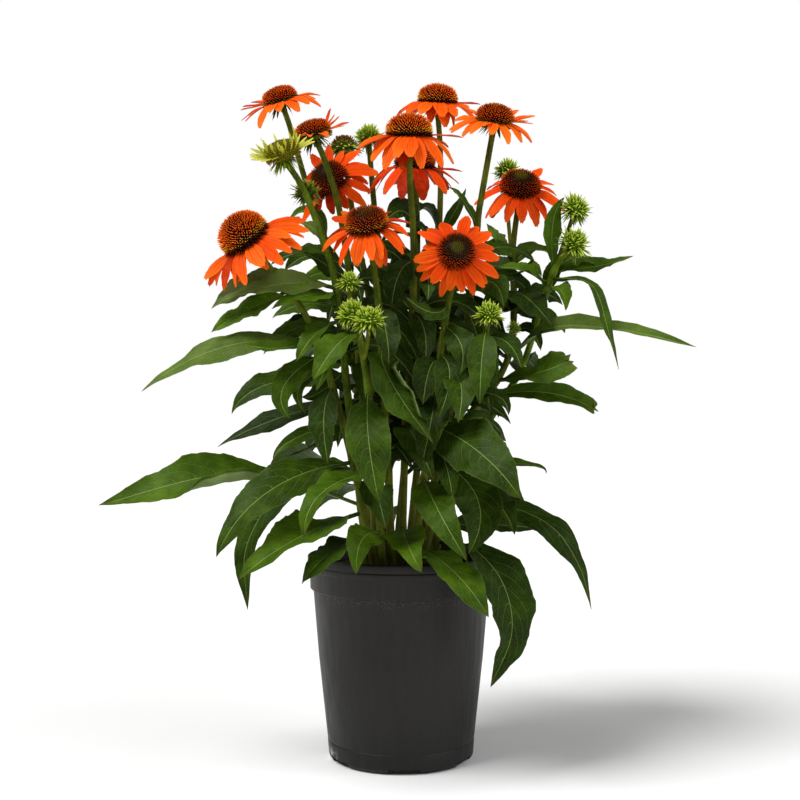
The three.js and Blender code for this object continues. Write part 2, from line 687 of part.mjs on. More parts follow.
// The arc of one ray's midrib, from the disc's rim outwards.
function rayPath(centre, axis, out, coneRadius, rays, draw) {
  const fall = radians(rays.droop + RAY.spread * draw());
  const reach = rays.length * (1 + RAY.lengthSpread * draw());
  const root = offset(centre, [out, coneRadius * DISC.share], [axis, discLevel]);
  const raise = Math.max(0, -Math.sin(fall)) * reach * RAY.reachOfBend;
  const bendReach = coneRadius * RAY.bendShare + reach * RAY.reachOfBend;
  const bend = offset(centre, [out, bendReach], [axis, discLevel + raise], [Z_AXIS, -rays.sag / 3]);
  const tipReach = coneRadius * RAY.tipShare + reach * Math.cos(fall);
  const tipLevel = discLevel - reach * Math.sin(fall);
  const tip = offset(centre, [out, tipReach], [axis, tipLevel], [Z_AXIS, -rays.sag]);
  return new THREE.QuadraticBezierCurve3(root, bend, tip);
}

// The rings of one ray beyond its root, each a flat blade with raised edges.
function rayRings(path, lean, width) {
  const thick = RAY.thickness;
  return RAY.sections.map((t, i) => {
    const lift = RAY.cup * RAY.widths[i];
    const half = (width / 2) * RAY.widths[i];
    return bladeRing(frameAt(path, t, lean), { half, thick, left: lift, right: lift });
  });
}

// One skin for all the rays of a bloom: a thin disc, whose rim carries drooping blades with blunt tips.
function raysGeometry(centre, { axis: way, cone: [coneRadius], rays }, seed) {
  const axis = vector(way).normalize();
  const draw = seededDraw(seed);
  const turnOf = (k) => (2 * Math.PI * k) / rays.count;
  const halfDisc = DISC.thickness / 2;
  const points = [discLevel + halfDisc, discLevel - halfDisc].map((level) => offset(centre, [axis, level]));
  for (let k = 0; k < rays.count; k++) {
    const rim = directionRound(axis, turnOf(k - 0.5));
    points.push(offset(centre, [rim, coneRadius * DISC.share], [axis, discLevel]));
  }
  const faces = [];
  for (let k = 0; k < rays.count; k++) {
    const out = directionRound(axis, turnOf(k));
    const path = rayPath(centre, axis, out, coneRadius, rays, draw);
    const lean = offset(axis, [out, Math.max(0, Math.sin(radians(rays.droop))) * RAY.lean]);
    const root = frameAt(path, 0, axis);
    const upper = points.push(offset(root.centre, [root.normal, RAY.thickness / 2])) - 1;
    const lower = points.push(offset(root.centre, [root.normal, -RAY.thickness / 2])) - 1;
    const before = 2 + k;
    const after = 2 + ((k + 1) % rays.count);
    faces.push(0, before, upper, 0, upper, after, 1, lower, before, 1, after, lower);
    let ring = [after, upper, before, lower];
    for (const section of rayRings(path, lean, rays.width)) {
      const next = section.map((point) => points.push(point) - 1);
      faces.push(...band(ring, next));
      ring = next;
    }
    faces.push(...fan(ring));
  }
  return meshOf(points, faces);
}

function coneGeometry(centre, { axis, cone: [radius, height], rays }) {
  const share = rays.droop < 0 ? CONE.shareInRaisedRays : CONE.share;
  const dome = spikyDome(radius * share, height, CONE.sides, CONE.rings, CONE.spike, CONE.lowest);
  dome.translate(0, 0, RECEPTACLE.height + DISC.thickness + 2 * GAP);
  return place(dome, centre, vector(axis).normalize());
}

// ---------- the plant ----------

const MATERIALS = {
  pot: new THREE.MeshStandardMaterial({ color: 0x2b2b2a, roughness: 0.5, metalness: 0 }),
  soil: new THREE.MeshStandardMaterial({ color: 0x2a2019, roughness: 1, metalness: 0 }),
  foliage: new THREE.MeshStandardMaterial({ color: 0x3c6422, roughness: 0.6, metalness: 0 }),
  orange: new THREE.MeshStandardMaterial({ color: 0xf4511a, roughness: 0.55, metalness: 0 }),
  green: new THREE.MeshStandardMaterial({ color: 0xa9bf4e, roughness: 0.6, metalness: 0 }),
  cone: new THREE.MeshStandardMaterial({ color: 0x7a2f14, roughness: 0.8, metalness: 0 }),
};

const plant = new THREE.Group();

function addMesh(name, geometry, material) {
  const mesh = new THREE.Mesh(geometry, material);
  mesh.name = name;
  plant.add(mesh);
}

addMesh("pot", potGeometry(), MATERIALS.pot);
addMesh("soil", soilGeometry(), MATERIALS.soil);
for (const [name, stem] of Object.entries(STEMS)) {
  addMesh("stem_" + name, stemGeometry(name, stem), MATERIALS.foliage);
}
Object.entries(BLOOMS).forEach(([name, flower], index) => {
  const centre = stemPath(STEMS[name]).getPointAt(1);
  const seed = RAY_SEEDS.first + RAY_SEEDS.step * index;
  addMesh("rays_" + name, raysGeometry(centre, flower, seed), MATERIALS[flower.colour]);
  addMesh("cone_" + name, coneGeometry(centre, flower), MATERIALS.cone);
});

export default plant;
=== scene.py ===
"""A coneflower in bloom in its nursery pot.

Each piece is a fine mesh that keeps the place and the form of the CAD node that it stands for.
Lengths are in millimetres, and become metres where a mesh is made. +Z is up, and the front is at -Y.
"""
import math

import bpy
import numpy as np
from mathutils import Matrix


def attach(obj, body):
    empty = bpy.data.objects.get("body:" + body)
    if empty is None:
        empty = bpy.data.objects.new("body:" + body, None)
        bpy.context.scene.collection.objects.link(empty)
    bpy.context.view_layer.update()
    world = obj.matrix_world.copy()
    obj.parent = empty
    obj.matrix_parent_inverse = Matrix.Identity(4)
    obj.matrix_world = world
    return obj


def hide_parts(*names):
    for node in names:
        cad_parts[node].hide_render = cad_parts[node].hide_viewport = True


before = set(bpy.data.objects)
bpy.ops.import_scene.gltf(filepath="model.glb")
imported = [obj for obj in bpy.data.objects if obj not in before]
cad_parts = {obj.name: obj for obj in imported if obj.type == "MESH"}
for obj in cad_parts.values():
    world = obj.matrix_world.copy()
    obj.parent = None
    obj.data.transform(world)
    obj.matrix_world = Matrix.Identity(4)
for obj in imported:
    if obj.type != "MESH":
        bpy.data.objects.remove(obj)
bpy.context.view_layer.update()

MM = 0.001
TURN = 2 * math.pi
GOLDEN_ANGLE = math.radians(137.508)
Z_AXIS = np.array([0.0, 0.0, 1.0])

# The eye in front of the plant, which looks straight along +Y.
EYE = np.array([-0.9, -1150.0, 319.0])

# ---------- sizes shared with the CAD source ----------

POT = {"height": 181, "wall": 1.6, "floor": 3, "base": 62}
POT_FOOT = {"radius": 65.4, "height": 16.5, "groove": 0.7}
POT_BODY = {"radius": 78.6, "height": 150}
POT_COLLAR = {"radius": 81.4, "height": 168.5}
POT_LIP = {"radius": 83.8, "bead": 1.2}
POT_SLOT = {"count": 6, "width": 28, "height": 4.5, "depth": 9, "turn": 0.04}
SOIL = {"edge": 164, "crown": 176}
ROOT_HEIGHT = 150

STEM = {"radius": 3.3, "swell": 1.08, "slim": 0.78}
BRANCH_RADIUS = 1.9
OPENING_BUD = "e"
LEAF = {"petiole": 0.1, "fold": 0.16, "wave": 0.085, "waves": 1.6, "widest": 0.4, "rise": 0.74}
CUP = {"height": 4, "share": 0.6}
DISC_LEVEL = 5.3
CONE = {"base": 6.6, "share": 0.9, "spike": 3.0, "lowest": -28}
BUD = {"core": 0.7, "height": 1.15, "lowest": -50, "sink": 0.15}

# ---------- the plant -----------------------

# The ways that leaves face.
UP = (0, 0, 1)
FRONT_UP = (0, -1, 1)
FRONT = (0, -1, 0.35)
LEFT_FRONT = (-0.5, -1, 0.6)
RIGHT_FRONT = (0.5, -1, 0.6)
BACK_UP = (0, 0.6, 1)


def leaf(at, rib, width, tint, face=FRONT_UP, petiole=LEAF["petiole"], rolled=None, torn=1.0):
    """A leaf that leaves its stem at the height `at`, with its midrib through the points of `rib`. `tint`
    goes from 0, deep green, to 1, light green, and 2, grey-green, which is partly a grey felt and partly
    painted light. The tints are partly each leaf's own green and partly painted light and shade: leaves
    that face the light get lighter tints, and leaves in shade or facing away deeper ones. `petiole` is the
    stalk's share of the length. `rolled` is the side, -1 or 1, where the edge rolls over, and from where to
    where. `torn` is the share of a whole blade that is left where the end has gone."""
    return {
        "at": at, "rib": rib, "width": width, "tint": tint, "face": face, "petiole": petiole,
        "rolled": rolled, "torn": torn,
    }


def side_bud(at, shoot, radius, shade=0.0):
    """A bud on a side shoot that leaves the stem at the height `at`. `shade` is how dark its bracts are."""
    return {"at": at, "shoot": shoot, "radius": radius, "shade": shade}


def stem(route, *leaves, bud=None, buds=()):
    """A stem's route from the soil up, its leaves, its end bud if it has one, and its side buds."""
    return {"route": route, "leaves": leaves, "bud": bud, "buds": buds}


STEMS = {
    "a": stem(
        [(-27, 18, 186), (-36, 30, 291), (-52, 46, 402), (-74, 62, 478),
         (-91, 64, 528), (-105, 62, 577), (-112, 56, 597)],
        leaf(466, [(-77, 56, 492), (-93, 52, 497), (-110, 46, 482)], 11, 0.7, (0, -1, 0.7)),
        leaf(450, [(-97, 66, 458), (-124, 68, 448)], 22, 0.15),
        leaf(400, [(-85, 30, 408), (-118, 20, 394)], 27, 0.5),
        leaf(374, [(-88, 26, 386), (-124, 14, 366)], 28, 0.1),
        leaf(330, [(-86, 66, 345), (-118, 90, 325)], 24, 0.3, BACK_UP),
        leaf(342, [(-118, 6, 334), (-153, 4, 306)], 35, 0.3),
        leaf(291, [(-91, 4, 272), (-100, 0, 270)], 9, 0.1, UP),
        leaf(258, [(-99, -4, 244), (-136, -20, 191), (-135, -26, 134)], 32, 0.25, LEFT_FRONT),
        leaf(240, [(-95, 92, 262), (-140, 150, 225)], 34, 0.3, BACK_UP),
        leaf(350, [(-80, 95, 372), (-105, 140, 345)], 26, 0.3, BACK_UP),
    ),
    "b": stem(
        [(-22, -8, 187), (-31, -20, 292), (-43, -26, 407), (-54, -28, 485), (-67, -30, 529), (-75, -30, 547)],
        leaf(424, [(-68, -44, 438), (-85, -56, 446)], 18, 0.2, LEFT_FRONT),
        leaf(350, [(-30, -58, 345), (-30, -80, 310)], 24, 0.3, FRONT),
    ),
    "c": stem(
        [(-31, -22, 185), (-43, -40, 293), (-56, -52, 414), (-65, -54, 450), (-83, -58, 498),
         (-99, -61, 523)],
        leaf(227, [(-97, -38, 249), (-162, -62, 254), (-256, -70, 230)], 43, 0.6,
             petiole=0.3, rolled=(-1, 0.0, 0.6)),
        leaf(400, [(-84, -50, 412), (-112, -56, 404)], 20, 0.5, UP),
        leaf(370, [(-84, -54, 382), (-118, -56, 358)], 25, 0.6),
        leaf(454, [(-76, -60, 466), (-86, -56, 470)], 12, 1.5),
        leaf(385, [(-57, -84, 362), (-70, -98, 326)], 25, 0.5, LEFT_FRONT),
        leaf(345, [(-71, -50, 325), (-86, -54, 322)], 17, 0.2, FRONT),
        leaf(319, [(-110, -34, 302), (-160, -38, 278)], 23, 0.0),
        leaf(221, [(-84, -118, 207), (-130, -134, 176)], 44, 0.6, LEFT_FRONT, 0.2),
        buds=[side_bud(488, [(-81, -52, 491), (-82, -45, 497)], 11, 0.3)],
    ),
    "e": stem(
        [(-15, 6, 185), (-25, 12, 292), (-30, 52, 410), (-44, 64, 483), (-54, 65, 557)],
        leaf(400, [(-78, 84, 420), (-98, 108, 400)], 22, 0.3, BACK_UP),
        leaf(440, [(-22, 28, 438), (-14, 4, 410)], 26, 0.1, FRONT),
        leaf(370, [(-20, 12, 376), (-14, -10, 352)], 26, 0.05, FRONT),
        bud=14,
    ),
    "f": stem(
        [(-8, -30, 179), (-13, -58, 293), (-18, -70, 387), (-24, -74, 437), (-28, -76, 460)],
        leaf(400, [(-12, -94, 373), (-10, -104, 347)], 24, 0.15, FRONT),
        leaf(361, [(-8, -110, 333), (26, -124, 284)], 38, 0.3, RIGHT_FRONT, rolled=(-1, 0.12, 0.95)),
    ),
    "g": stem(
        [(-16, 22, 186), (-25, 34, 291), (-43, 40, 412), (-54, 38, 478), (-62, 28, 517)],
        leaf(396, [(-5, 24, 392), (2, 20, 372)], 18, 0.05),
        leaf(440, [(-80, 25, 452), (-106, 12, 436)], 24, 0.25),
        leaf(422, [(-66, 8, 434), (-90, -6, 424)], 23, 0.8),
        leaf(345, [(-62, 5, 352), (-78, -16, 325)], 28, 0.3, LEFT_FRONT),
        leaf(200, [(-20, 115, 205), (-25, 175, 150)], 36, 0.3, BACK_UP),
        leaf(280, [(-72, 110, 290), (-98, 165, 255)], 30, 0.3, BACK_UP),
    ),
    "h": stem(
        [(-25, -34, 181), (-48, -60, 293), (-75, -72, 379), (-100, -78, 417), (-125, -80, 448)],
        leaf(363, [(-144, -74, 365), (-216, -88, 326)], 28, 1.5),
        leaf(407, [(-128, -66, 396), (-160, -74, 376)], 24, 1.0),
        # This leaf lies in the shadow of bloom h; its tint of 2.0 paints it light grey-green, as painted
        # light.
        leaf(414, [(-117, -66, 421), (-160, -74, 396)], 27, 2.0),
        leaf(358, [(-98, -84, 330), (-92, -86, 303)], 22, 0.45, FRONT),
        leaf(330, [(-64, -88, 305), (-60, -96, 265)], 26, 0.15, LEFT_FRONT),
        leaf(345, [(-86, -72, 329), (-80, -74, 307)], 10, 0.35, FRONT),
        leaf(300, [(-92, -76, 285), (-107, -84, 268)], 13, 0.35, FRONT),
        leaf(266, [(-108, -112, 244), (-148, -128, 193)], 42, 0.3, LEFT_FRONT),
        leaf(201, [(-58, -110, 194), (-80, -122, 171)], 38, 0.35, LEFT_FRONT, 0.2),
    ),
    "i": stem(
        [(11, -28, 179), (25, -58, 293), (36, -66, 378), (43, -66, 416), (46, -72, 441)],
        leaf(192, [(44, -110, 178), (71, -116, 143)], 38, 0.5, RIGHT_FRONT, 0.2),
        leaf(251, [(31, -122, 228), (53, -132, 190)], 31, 0.4, FRONT),
        leaf(298, [(64, -122, 276), (95, -146, 240)], 47, 0.2, FRONT),
        leaf(340, [(48, -98, 335), (46, -118, 300)], 29, 0.3, FRONT),
        leaf(352, [(24, -80, 345), (18, -98, 315)], 26, 0.1, FRONT),
        leaf(382, [(50, -90, 364), (48, -102, 340)], 24, 0.1, FRONT),
    ),
    "j": stem(
        [(1, -6, 183), (4, -14, 292), (9, -30, 380), (11, -38, 424),
         (10, -43, 476), (8, -45, 500), (7, -45, 543)],
        leaf(205, [(6, -112, 200), (17, -122, 180)], 36, 0.6, FRONT, 0.2),
        leaf(299, [(15, -96, 280), (27, -104, 252)], 30, 0.2, FRONT),
        leaf(396, [(20, -58, 378), (20, -72, 348)], 20, 0.1, FRONT),
        leaf(440, [(-2, -56, 426), (-8, -64, 396)], 24, 0.1, FRONT),
        leaf(430, [(22, -62, 425), (22, -84, 402)], 20, 0.15, FRONT),
    ),
    "k": stem(
        [(-3, 14, 187), (6, 24, 291), (14, 34, 412), (15, 40, 487), (12, 41, 532)],
        leaf(475, [(2, 22, 492), (-14, 6, 480)], 25, 0.0, FRONT),
        leaf(430, [(-10, 20, 455), (-22, 0, 440)], 26, 0.0, FRONT),
        leaf(370, [(12, 4, 352), (10, 0, 318)], 28, 0.0, FRONT),
        leaf(300, [(-8, 4, 285), (-10, -10, 250)], 22, 0.0, FRONT),
        leaf(395, [(30, 0, 405), (42, -22, 385)], 24, 0.1),
    ),
    "l": stem(
        [(8, 26, 187), (20, 46, 300), (33, 68, 413), (38, 89, 509), (38, 90, 563), (35, 85, 602)],
        leaf(475, [(53, 72, 502), (62, 66, 521)], 12, 0.5, RIGHT_FRONT),
        leaf(480, [(24, 64, 500), (8, 50, 490)], 20, 0.05),
        leaf(450, [(20, 30, 475), (22, 2, 470)], 20, 0.05, FRONT),
        leaf(410, [(62, 30, 425), (82, 4, 408)], 28, 0.15, RIGHT_FRONT),
        leaf(235, [(60, 125, 250), (90, 195, 205)], 38, 0.4, BACK_UP),
        leaf(325, [(45, 110, 350), (40, 160, 320)], 26, 0.3, BACK_UP),
        leaf(300, [(80, 115, 325), (100, 165, 300)], 30, 0.4, BACK_UP),
        leaf(390, [(70, 115, 405), (105, 155, 380)], 24, 0.3, BACK_UP),
        leaf(430, [(20, 110, 450), (5, 145, 430)], 18, 0.3, BACK_UP),
    ),
    "m": stem(
        [(17, 4, 182), (40, -2, 292), (58, -12, 381), (68, -18, 477), (71, -20, 498), (82, -20, 561)],
        leaf(360, [(46, -30, 370), (38, -46, 345)], 24, 0.05, FRONT),
        leaf(330, [(68, -48, 332), (76, -64, 308)], 25, 0.3, FRONT),
        leaf(398, [(72, -48, 352), (77, -60, 316)], 27, 0.25, FRONT),
        leaf(380, [(89, -26, 372), (105, -30, 350)], 13, 0.2),
        leaf(420, [(80, -45, 420), (88, -58, 398)], 26, 0.3, FRONT),
        leaf(472, [(54, 0, 501), (41, 10, 513)], 11, 0.4, UP),
    ),
    "n": stem(
        [(20, -14, 180), (55, 0, 292), (87, 12, 336), (101, 20, 369),
         (104, 28, 411), (104, 38, 458), (111, 44, 512)],
        leaf(228, [(74, -40, 235), (96, -72, 205)], 34, 0.15, RIGHT_FRONT),
        leaf(231, [(97, -22, 224), (134, -38, 206), (156, -44, 171), (165, -44, 137)], 28, 0.1, RIGHT_FRONT),
        leaf(261, [(113, 0, 261), (130, 0, 252)], 15, 0.5),
        leaf(380, [(118, 20, 383), (128, 20, 364)], 13, 0.2),
        leaf(419, [(114, -14, 408), (134, -24, 384)], 31, 0.1),
        leaf(398, [(88, 2, 410), (74, -8, 388)], 24, 0.2, FRONT),
        leaf(361, [(134, -14, 383), (196, -30, 380), (257, -40, 365)], 18, 1.4),
        leaf(450, [(87, 10, 465), (77, 0, 478)], 20, 1.3, RIGHT_FRONT),
        leaf(430, [(116, 8, 439), (127, 2, 430)], 20, 0.7),
        leaf(440, [(119, 40, 458), (144, 44, 455)], 16, 0.6),
        leaf(338, [(118, -22, 342), (149, -30, 354)], 29, 0.6, torn=0.62),
        leaf(320, [(124, -10, 326), (169, -16, 312)], 19, 0.5, FRONT, torn=0.58),
        buds=[
            side_bud(374, [(99, 8, 378), (101, 0, 383)], 6),
            side_bud(410, [(106, 70, 450), (104, 96, 505), (104, 98, 540)], 12),
        ],
    ),
    "p": stem(
        [(26, 12, 184), (71, 24, 282), (109, 20, 346), (126, 6, 400), (139, 0, 438), (152, -16, 456)],
        leaf(205, [(100, 30, 203), (130, 34, 198)], 24, 0.2),
        leaf(429, [(167, -30, 420), (181, -40, 375), (189, -42, 345)], 13, 0.35, RIGHT_FRONT),
        leaf(436, [(181, 10, 441), (211, 10, 450)], 19, 0.6),
        leaf(435, [(136, -6, 477), (147, -4, 501)], 18, 0.7, RIGHT_FRONT),
        leaf(422, [(108, -26, 433), (84, -36, 434)], 18, 0.75),
        leaf(415, [(141, -12, 418), (146, -18, 398)], 18, 0.9, RIGHT_FRONT),
        leaf(230, [(90, 75, 240), (125, 110, 205)], 32, 0.3, BACK_UP),
        leaf(340, [(120, 80, 360), (140, 115, 335)], 24, 0.3, BACK_UP),
        bud=13,
        buds=[side_bud(432, [(148, 2, 464), (155, -6, 487)], 13)],
    ),
    "r": stem(
        [(30, -26, 180), (48, -48, 295), (66, -72, 353), (73, -86, 388)],
        leaf(325, [(82, -72, 322), (90, -80, 306)], 14, 0.1, RIGHT_FRONT),
        leaf(261, [(66, -72, 230), (56, -84, 190)], 38, 0.15, FRONT),
        leaf(195, [(60, -62, 193), (84, -87, 167), (91, -96, 127), (74, -92, 81)], 42, 0.15,
             RIGHT_FRONT, 0.2),
        bud=11,
    ),
    "t": stem(
        [(-10, 32, 190), (-12, 56, 291), (-16, 68, 414), (-26, 78, 509), (-31, 80, 568)],
        leaf(470, [(0, 78, 480), (16, 70, 468)], 18, 0.5, UP),
        leaf(215, [(-60, 120, 235), (-100, 185, 190)], 36, 0.3, BACK_UP),
        leaf(300, [(-30, 135, 325), (-50, 200, 290)], 30, 0.4, BACK_UP),
        leaf(360, [(5, 125, 375), (25, 175, 345)], 26, 0.3, BACK_UP),
        leaf(420, [(-50, 115, 430), (-70, 160, 405)], 22, 0.3, BACK_UP),
        bud=13,
    ),
    "u": stem(
        [(-16, -44, 178), (-24, -84, 294), (-32, -102, 360), (-39, -112, 386)],
        leaf(205, [(-32, -112, 205), (-36, -122, 178)], 28, 0.6, FRONT, 0.2),
        leaf(240, [(-20, -102, 245), (-12, -124, 215)], 28, 0.2, FRONT),
        leaf(326, [(-26, -128, 287), (-17, -136, 237)], 36, 0.35, FRONT),
        leaf(374, [(-51, -128, 363), (-70, -136, 334)], 28, 0.55, LEFT_FRONT),
        leaf(258, [(-62, -146, 246), (-76, -150, 211)], 29, 0.5, LEFT_FRONT),
        bud=12,
        buds=[
            side_bud(352, [(-27, -118, 368), (-26, -125, 380)], 12),
            side_bud(372, [(-42, -94, 400), (-43, -95, 415)], 8.5),
        ],
    ),
}

# How green each stem is, from 0, a brown olive, to 1.
STEM_TINTS = {
    "a": 0.4, "b": 0.5, "c": 1.0, "e": 0.3, "f": 0.5, "g": 0.6, "h": 0.5, "i": 0.5, "j": 0.35, "k": 0.3,
    "l": 0.3, "m": 0.2, "n": 0.5, "p": 1.0, "r": 0.6, "t": 0.4, "u": 0.8,
}
# More leaves, in gaps between the stems: the stem that each grows from, and the leaf.
GAP_LEAVES = [
    ("c", leaf(408, [(-80, -92, 405), (-107, -96, 394)], 25, 0.9)),
    ("c", leaf(388, [(-70, -96, 374), (-86, -104, 350)], 27, 0.6, LEFT_FRONT)),
    ("h", leaf(372, [(-100, -88, 362), (-134, -92, 366)], 15, 0.7)),
    ("c", leaf(398, [(-74, -76, 408), (-92, -82, 416)], 16, 1.2)),
    ("c", leaf(416, [(-98, -90, 415), (-156, -86, 399)], 28, 1.7)),
    ("p", leaf(428, [(154, 6, 447), (178, 10, 441)], 21, 0.5)),
    ("p", leaf(412, [(138, 8, 436), (151, 12, 457)], 15, 0.35, FRONT)),
    ("n", leaf(402, [(126, 30, 418), (150, 34, 407)], 26, 0.15)),
    ("n", leaf(432, [(88, 44, 444), (66, 50, 430)], 24, 0.2)),
    ("m", leaf(446, [(96, 4, 457), (122, 10, 444)], 22, 0.3)),
    ("m", leaf(414, [(96, 8, 430), (120, 14, 410)], 26, 0.1)),
    ("p", leaf(388, [(108, 12, 408), (92, 18, 398)], 24, 0.1)),
    ("p", leaf(376, [(134, 16, 392), (150, 18, 380)], 20, 0.2)),
    ("i", leaf(400, [(26, -84, 392), (4, -92, 404)], 20, 0.1)),
    ("r", leaf(378, [(66, -104, 352), (64, -112, 315)], 24, 0.35, FRONT)),
    ("r", leaf(372, [(88, -92, 366), (99, -98, 345)], 19, 0.1, RIGHT_FRONT)),
    ("i", leaf(358, [(40, -98, 338), (30, -106, 303)], 26, 0.05, FRONT)),
    ("i", leaf(326, [(25, -98, 302), (16, -106, 262)], 32, 0.1, LEFT_FRONT)),
    ("i", leaf(290, [(36, -100, 268), (42, -112, 236)], 24, 0.05, FRONT)),
]


def bloom(axis, cone, rays, ripe, glow, green=0.0, pollen=0.0, kind="orange"):
    """A bloom's axis, its cone's radius and height, and its rays: how many, their length, width, droop and
    sag. `ripe` is 0 for a cone with a young heart, `glow` is how light the rays are, from -1 to 1, `green` is
    for an olive heart or foot, and `pollen` is for a yellow ring round the cone. `glow` is partly the rays'
    own
    red or orange and partly painted shade: blooms in the shade of others get low values, and below 0 the
    rays are painted a deeper red."""
    count, length, width, droop, sag = rays
    return {
        "axis": axis, "radius": cone[0], "height": cone[1], "count": count, "length": length, "width": width,
        "droop": droop, "sag": sag, "ripe": ripe, "glow": glow, "green": green, "pollen": pollen,
        "kind": kind,
    }


# How far the rays of a bloom twist to the front.
RAY_TWIST = {"h": 1.0, "g": 0.4, "c": 0.5}
# A bloom spans the same crown as its CAD node.
BLOOMS = {
    "a": bloom((-0.3, -0.3, 0.9), (17, 10), (16, 25, 9.5, 20, 3), 0.8, 0.8, 0.9),
    "b": bloom((-0.3, -0.2, 1), (16, 10.5), (12, 20, 6.5, -4, 1), 0.6, 0.7, 1.0),
    "c": bloom((-0.3, -0.3, 0.9), (17, 12.5), (30, 18, 3.4, -26, 0), 0.0, 0.5, 1.0, 0.0, "green"),
    "f": bloom((-0.12, -0.52, 0.85), (18.5, 15.5), (18, 29, 10.2, 26, 4), 0.3, 0.35, 0.2, 0.5),
    # Bloom g is shaded by the blooms in front of it: its glow below 0 paints its rays darker, as painted
    # shade.
    "g": bloom((-0.45, -0.7, 0.5), (18, 18), (17, 31, 10.4, 14, 2), 0.1, -0.1),
    "h": bloom((-0.56, -0.36, 0.76), (22.5, 23.5), (17, 37, 12, 27, 5), 1.0, 0.4, 0.0, 0.7),
    "i": bloom((0.05, -0.95, 0.3), (16.5, 12.5), (20, 24, 9.6, 9, 1), 0.0, 0.1, 0.45),
    "j": bloom((0, -0.22, 0.98), (20.5, 15.5), (15, 36, 14, 24, 2), 1.0, 0.5, 0.0, 1.0),
    # Bloom k lies in the shade of bloom j: its low glow paints its rays darker, as painted shade.
    "k": bloom((0.1, -0.2, 1), (19.5, 16), (15, 36, 13, 30, 3), 0.8, 0.0),
    "l": bloom((0.05, -0.25, 0.97), (19.5, 14), (14, 31, 13.5, 26, 3), 1.0, 0.45, 0.0, 1.0),
    "m": bloom((0.1, -0.35, 0.93), (17, 12.5), (16, 28, 9.8, 20, 2), 0.7, 1.0, 0.7),
    "n": bloom((0.02, -0.62, 0.78), (19, 15), (18, 31, 10.4, 20, 2), 0.05, 0.1, 0.45),
}
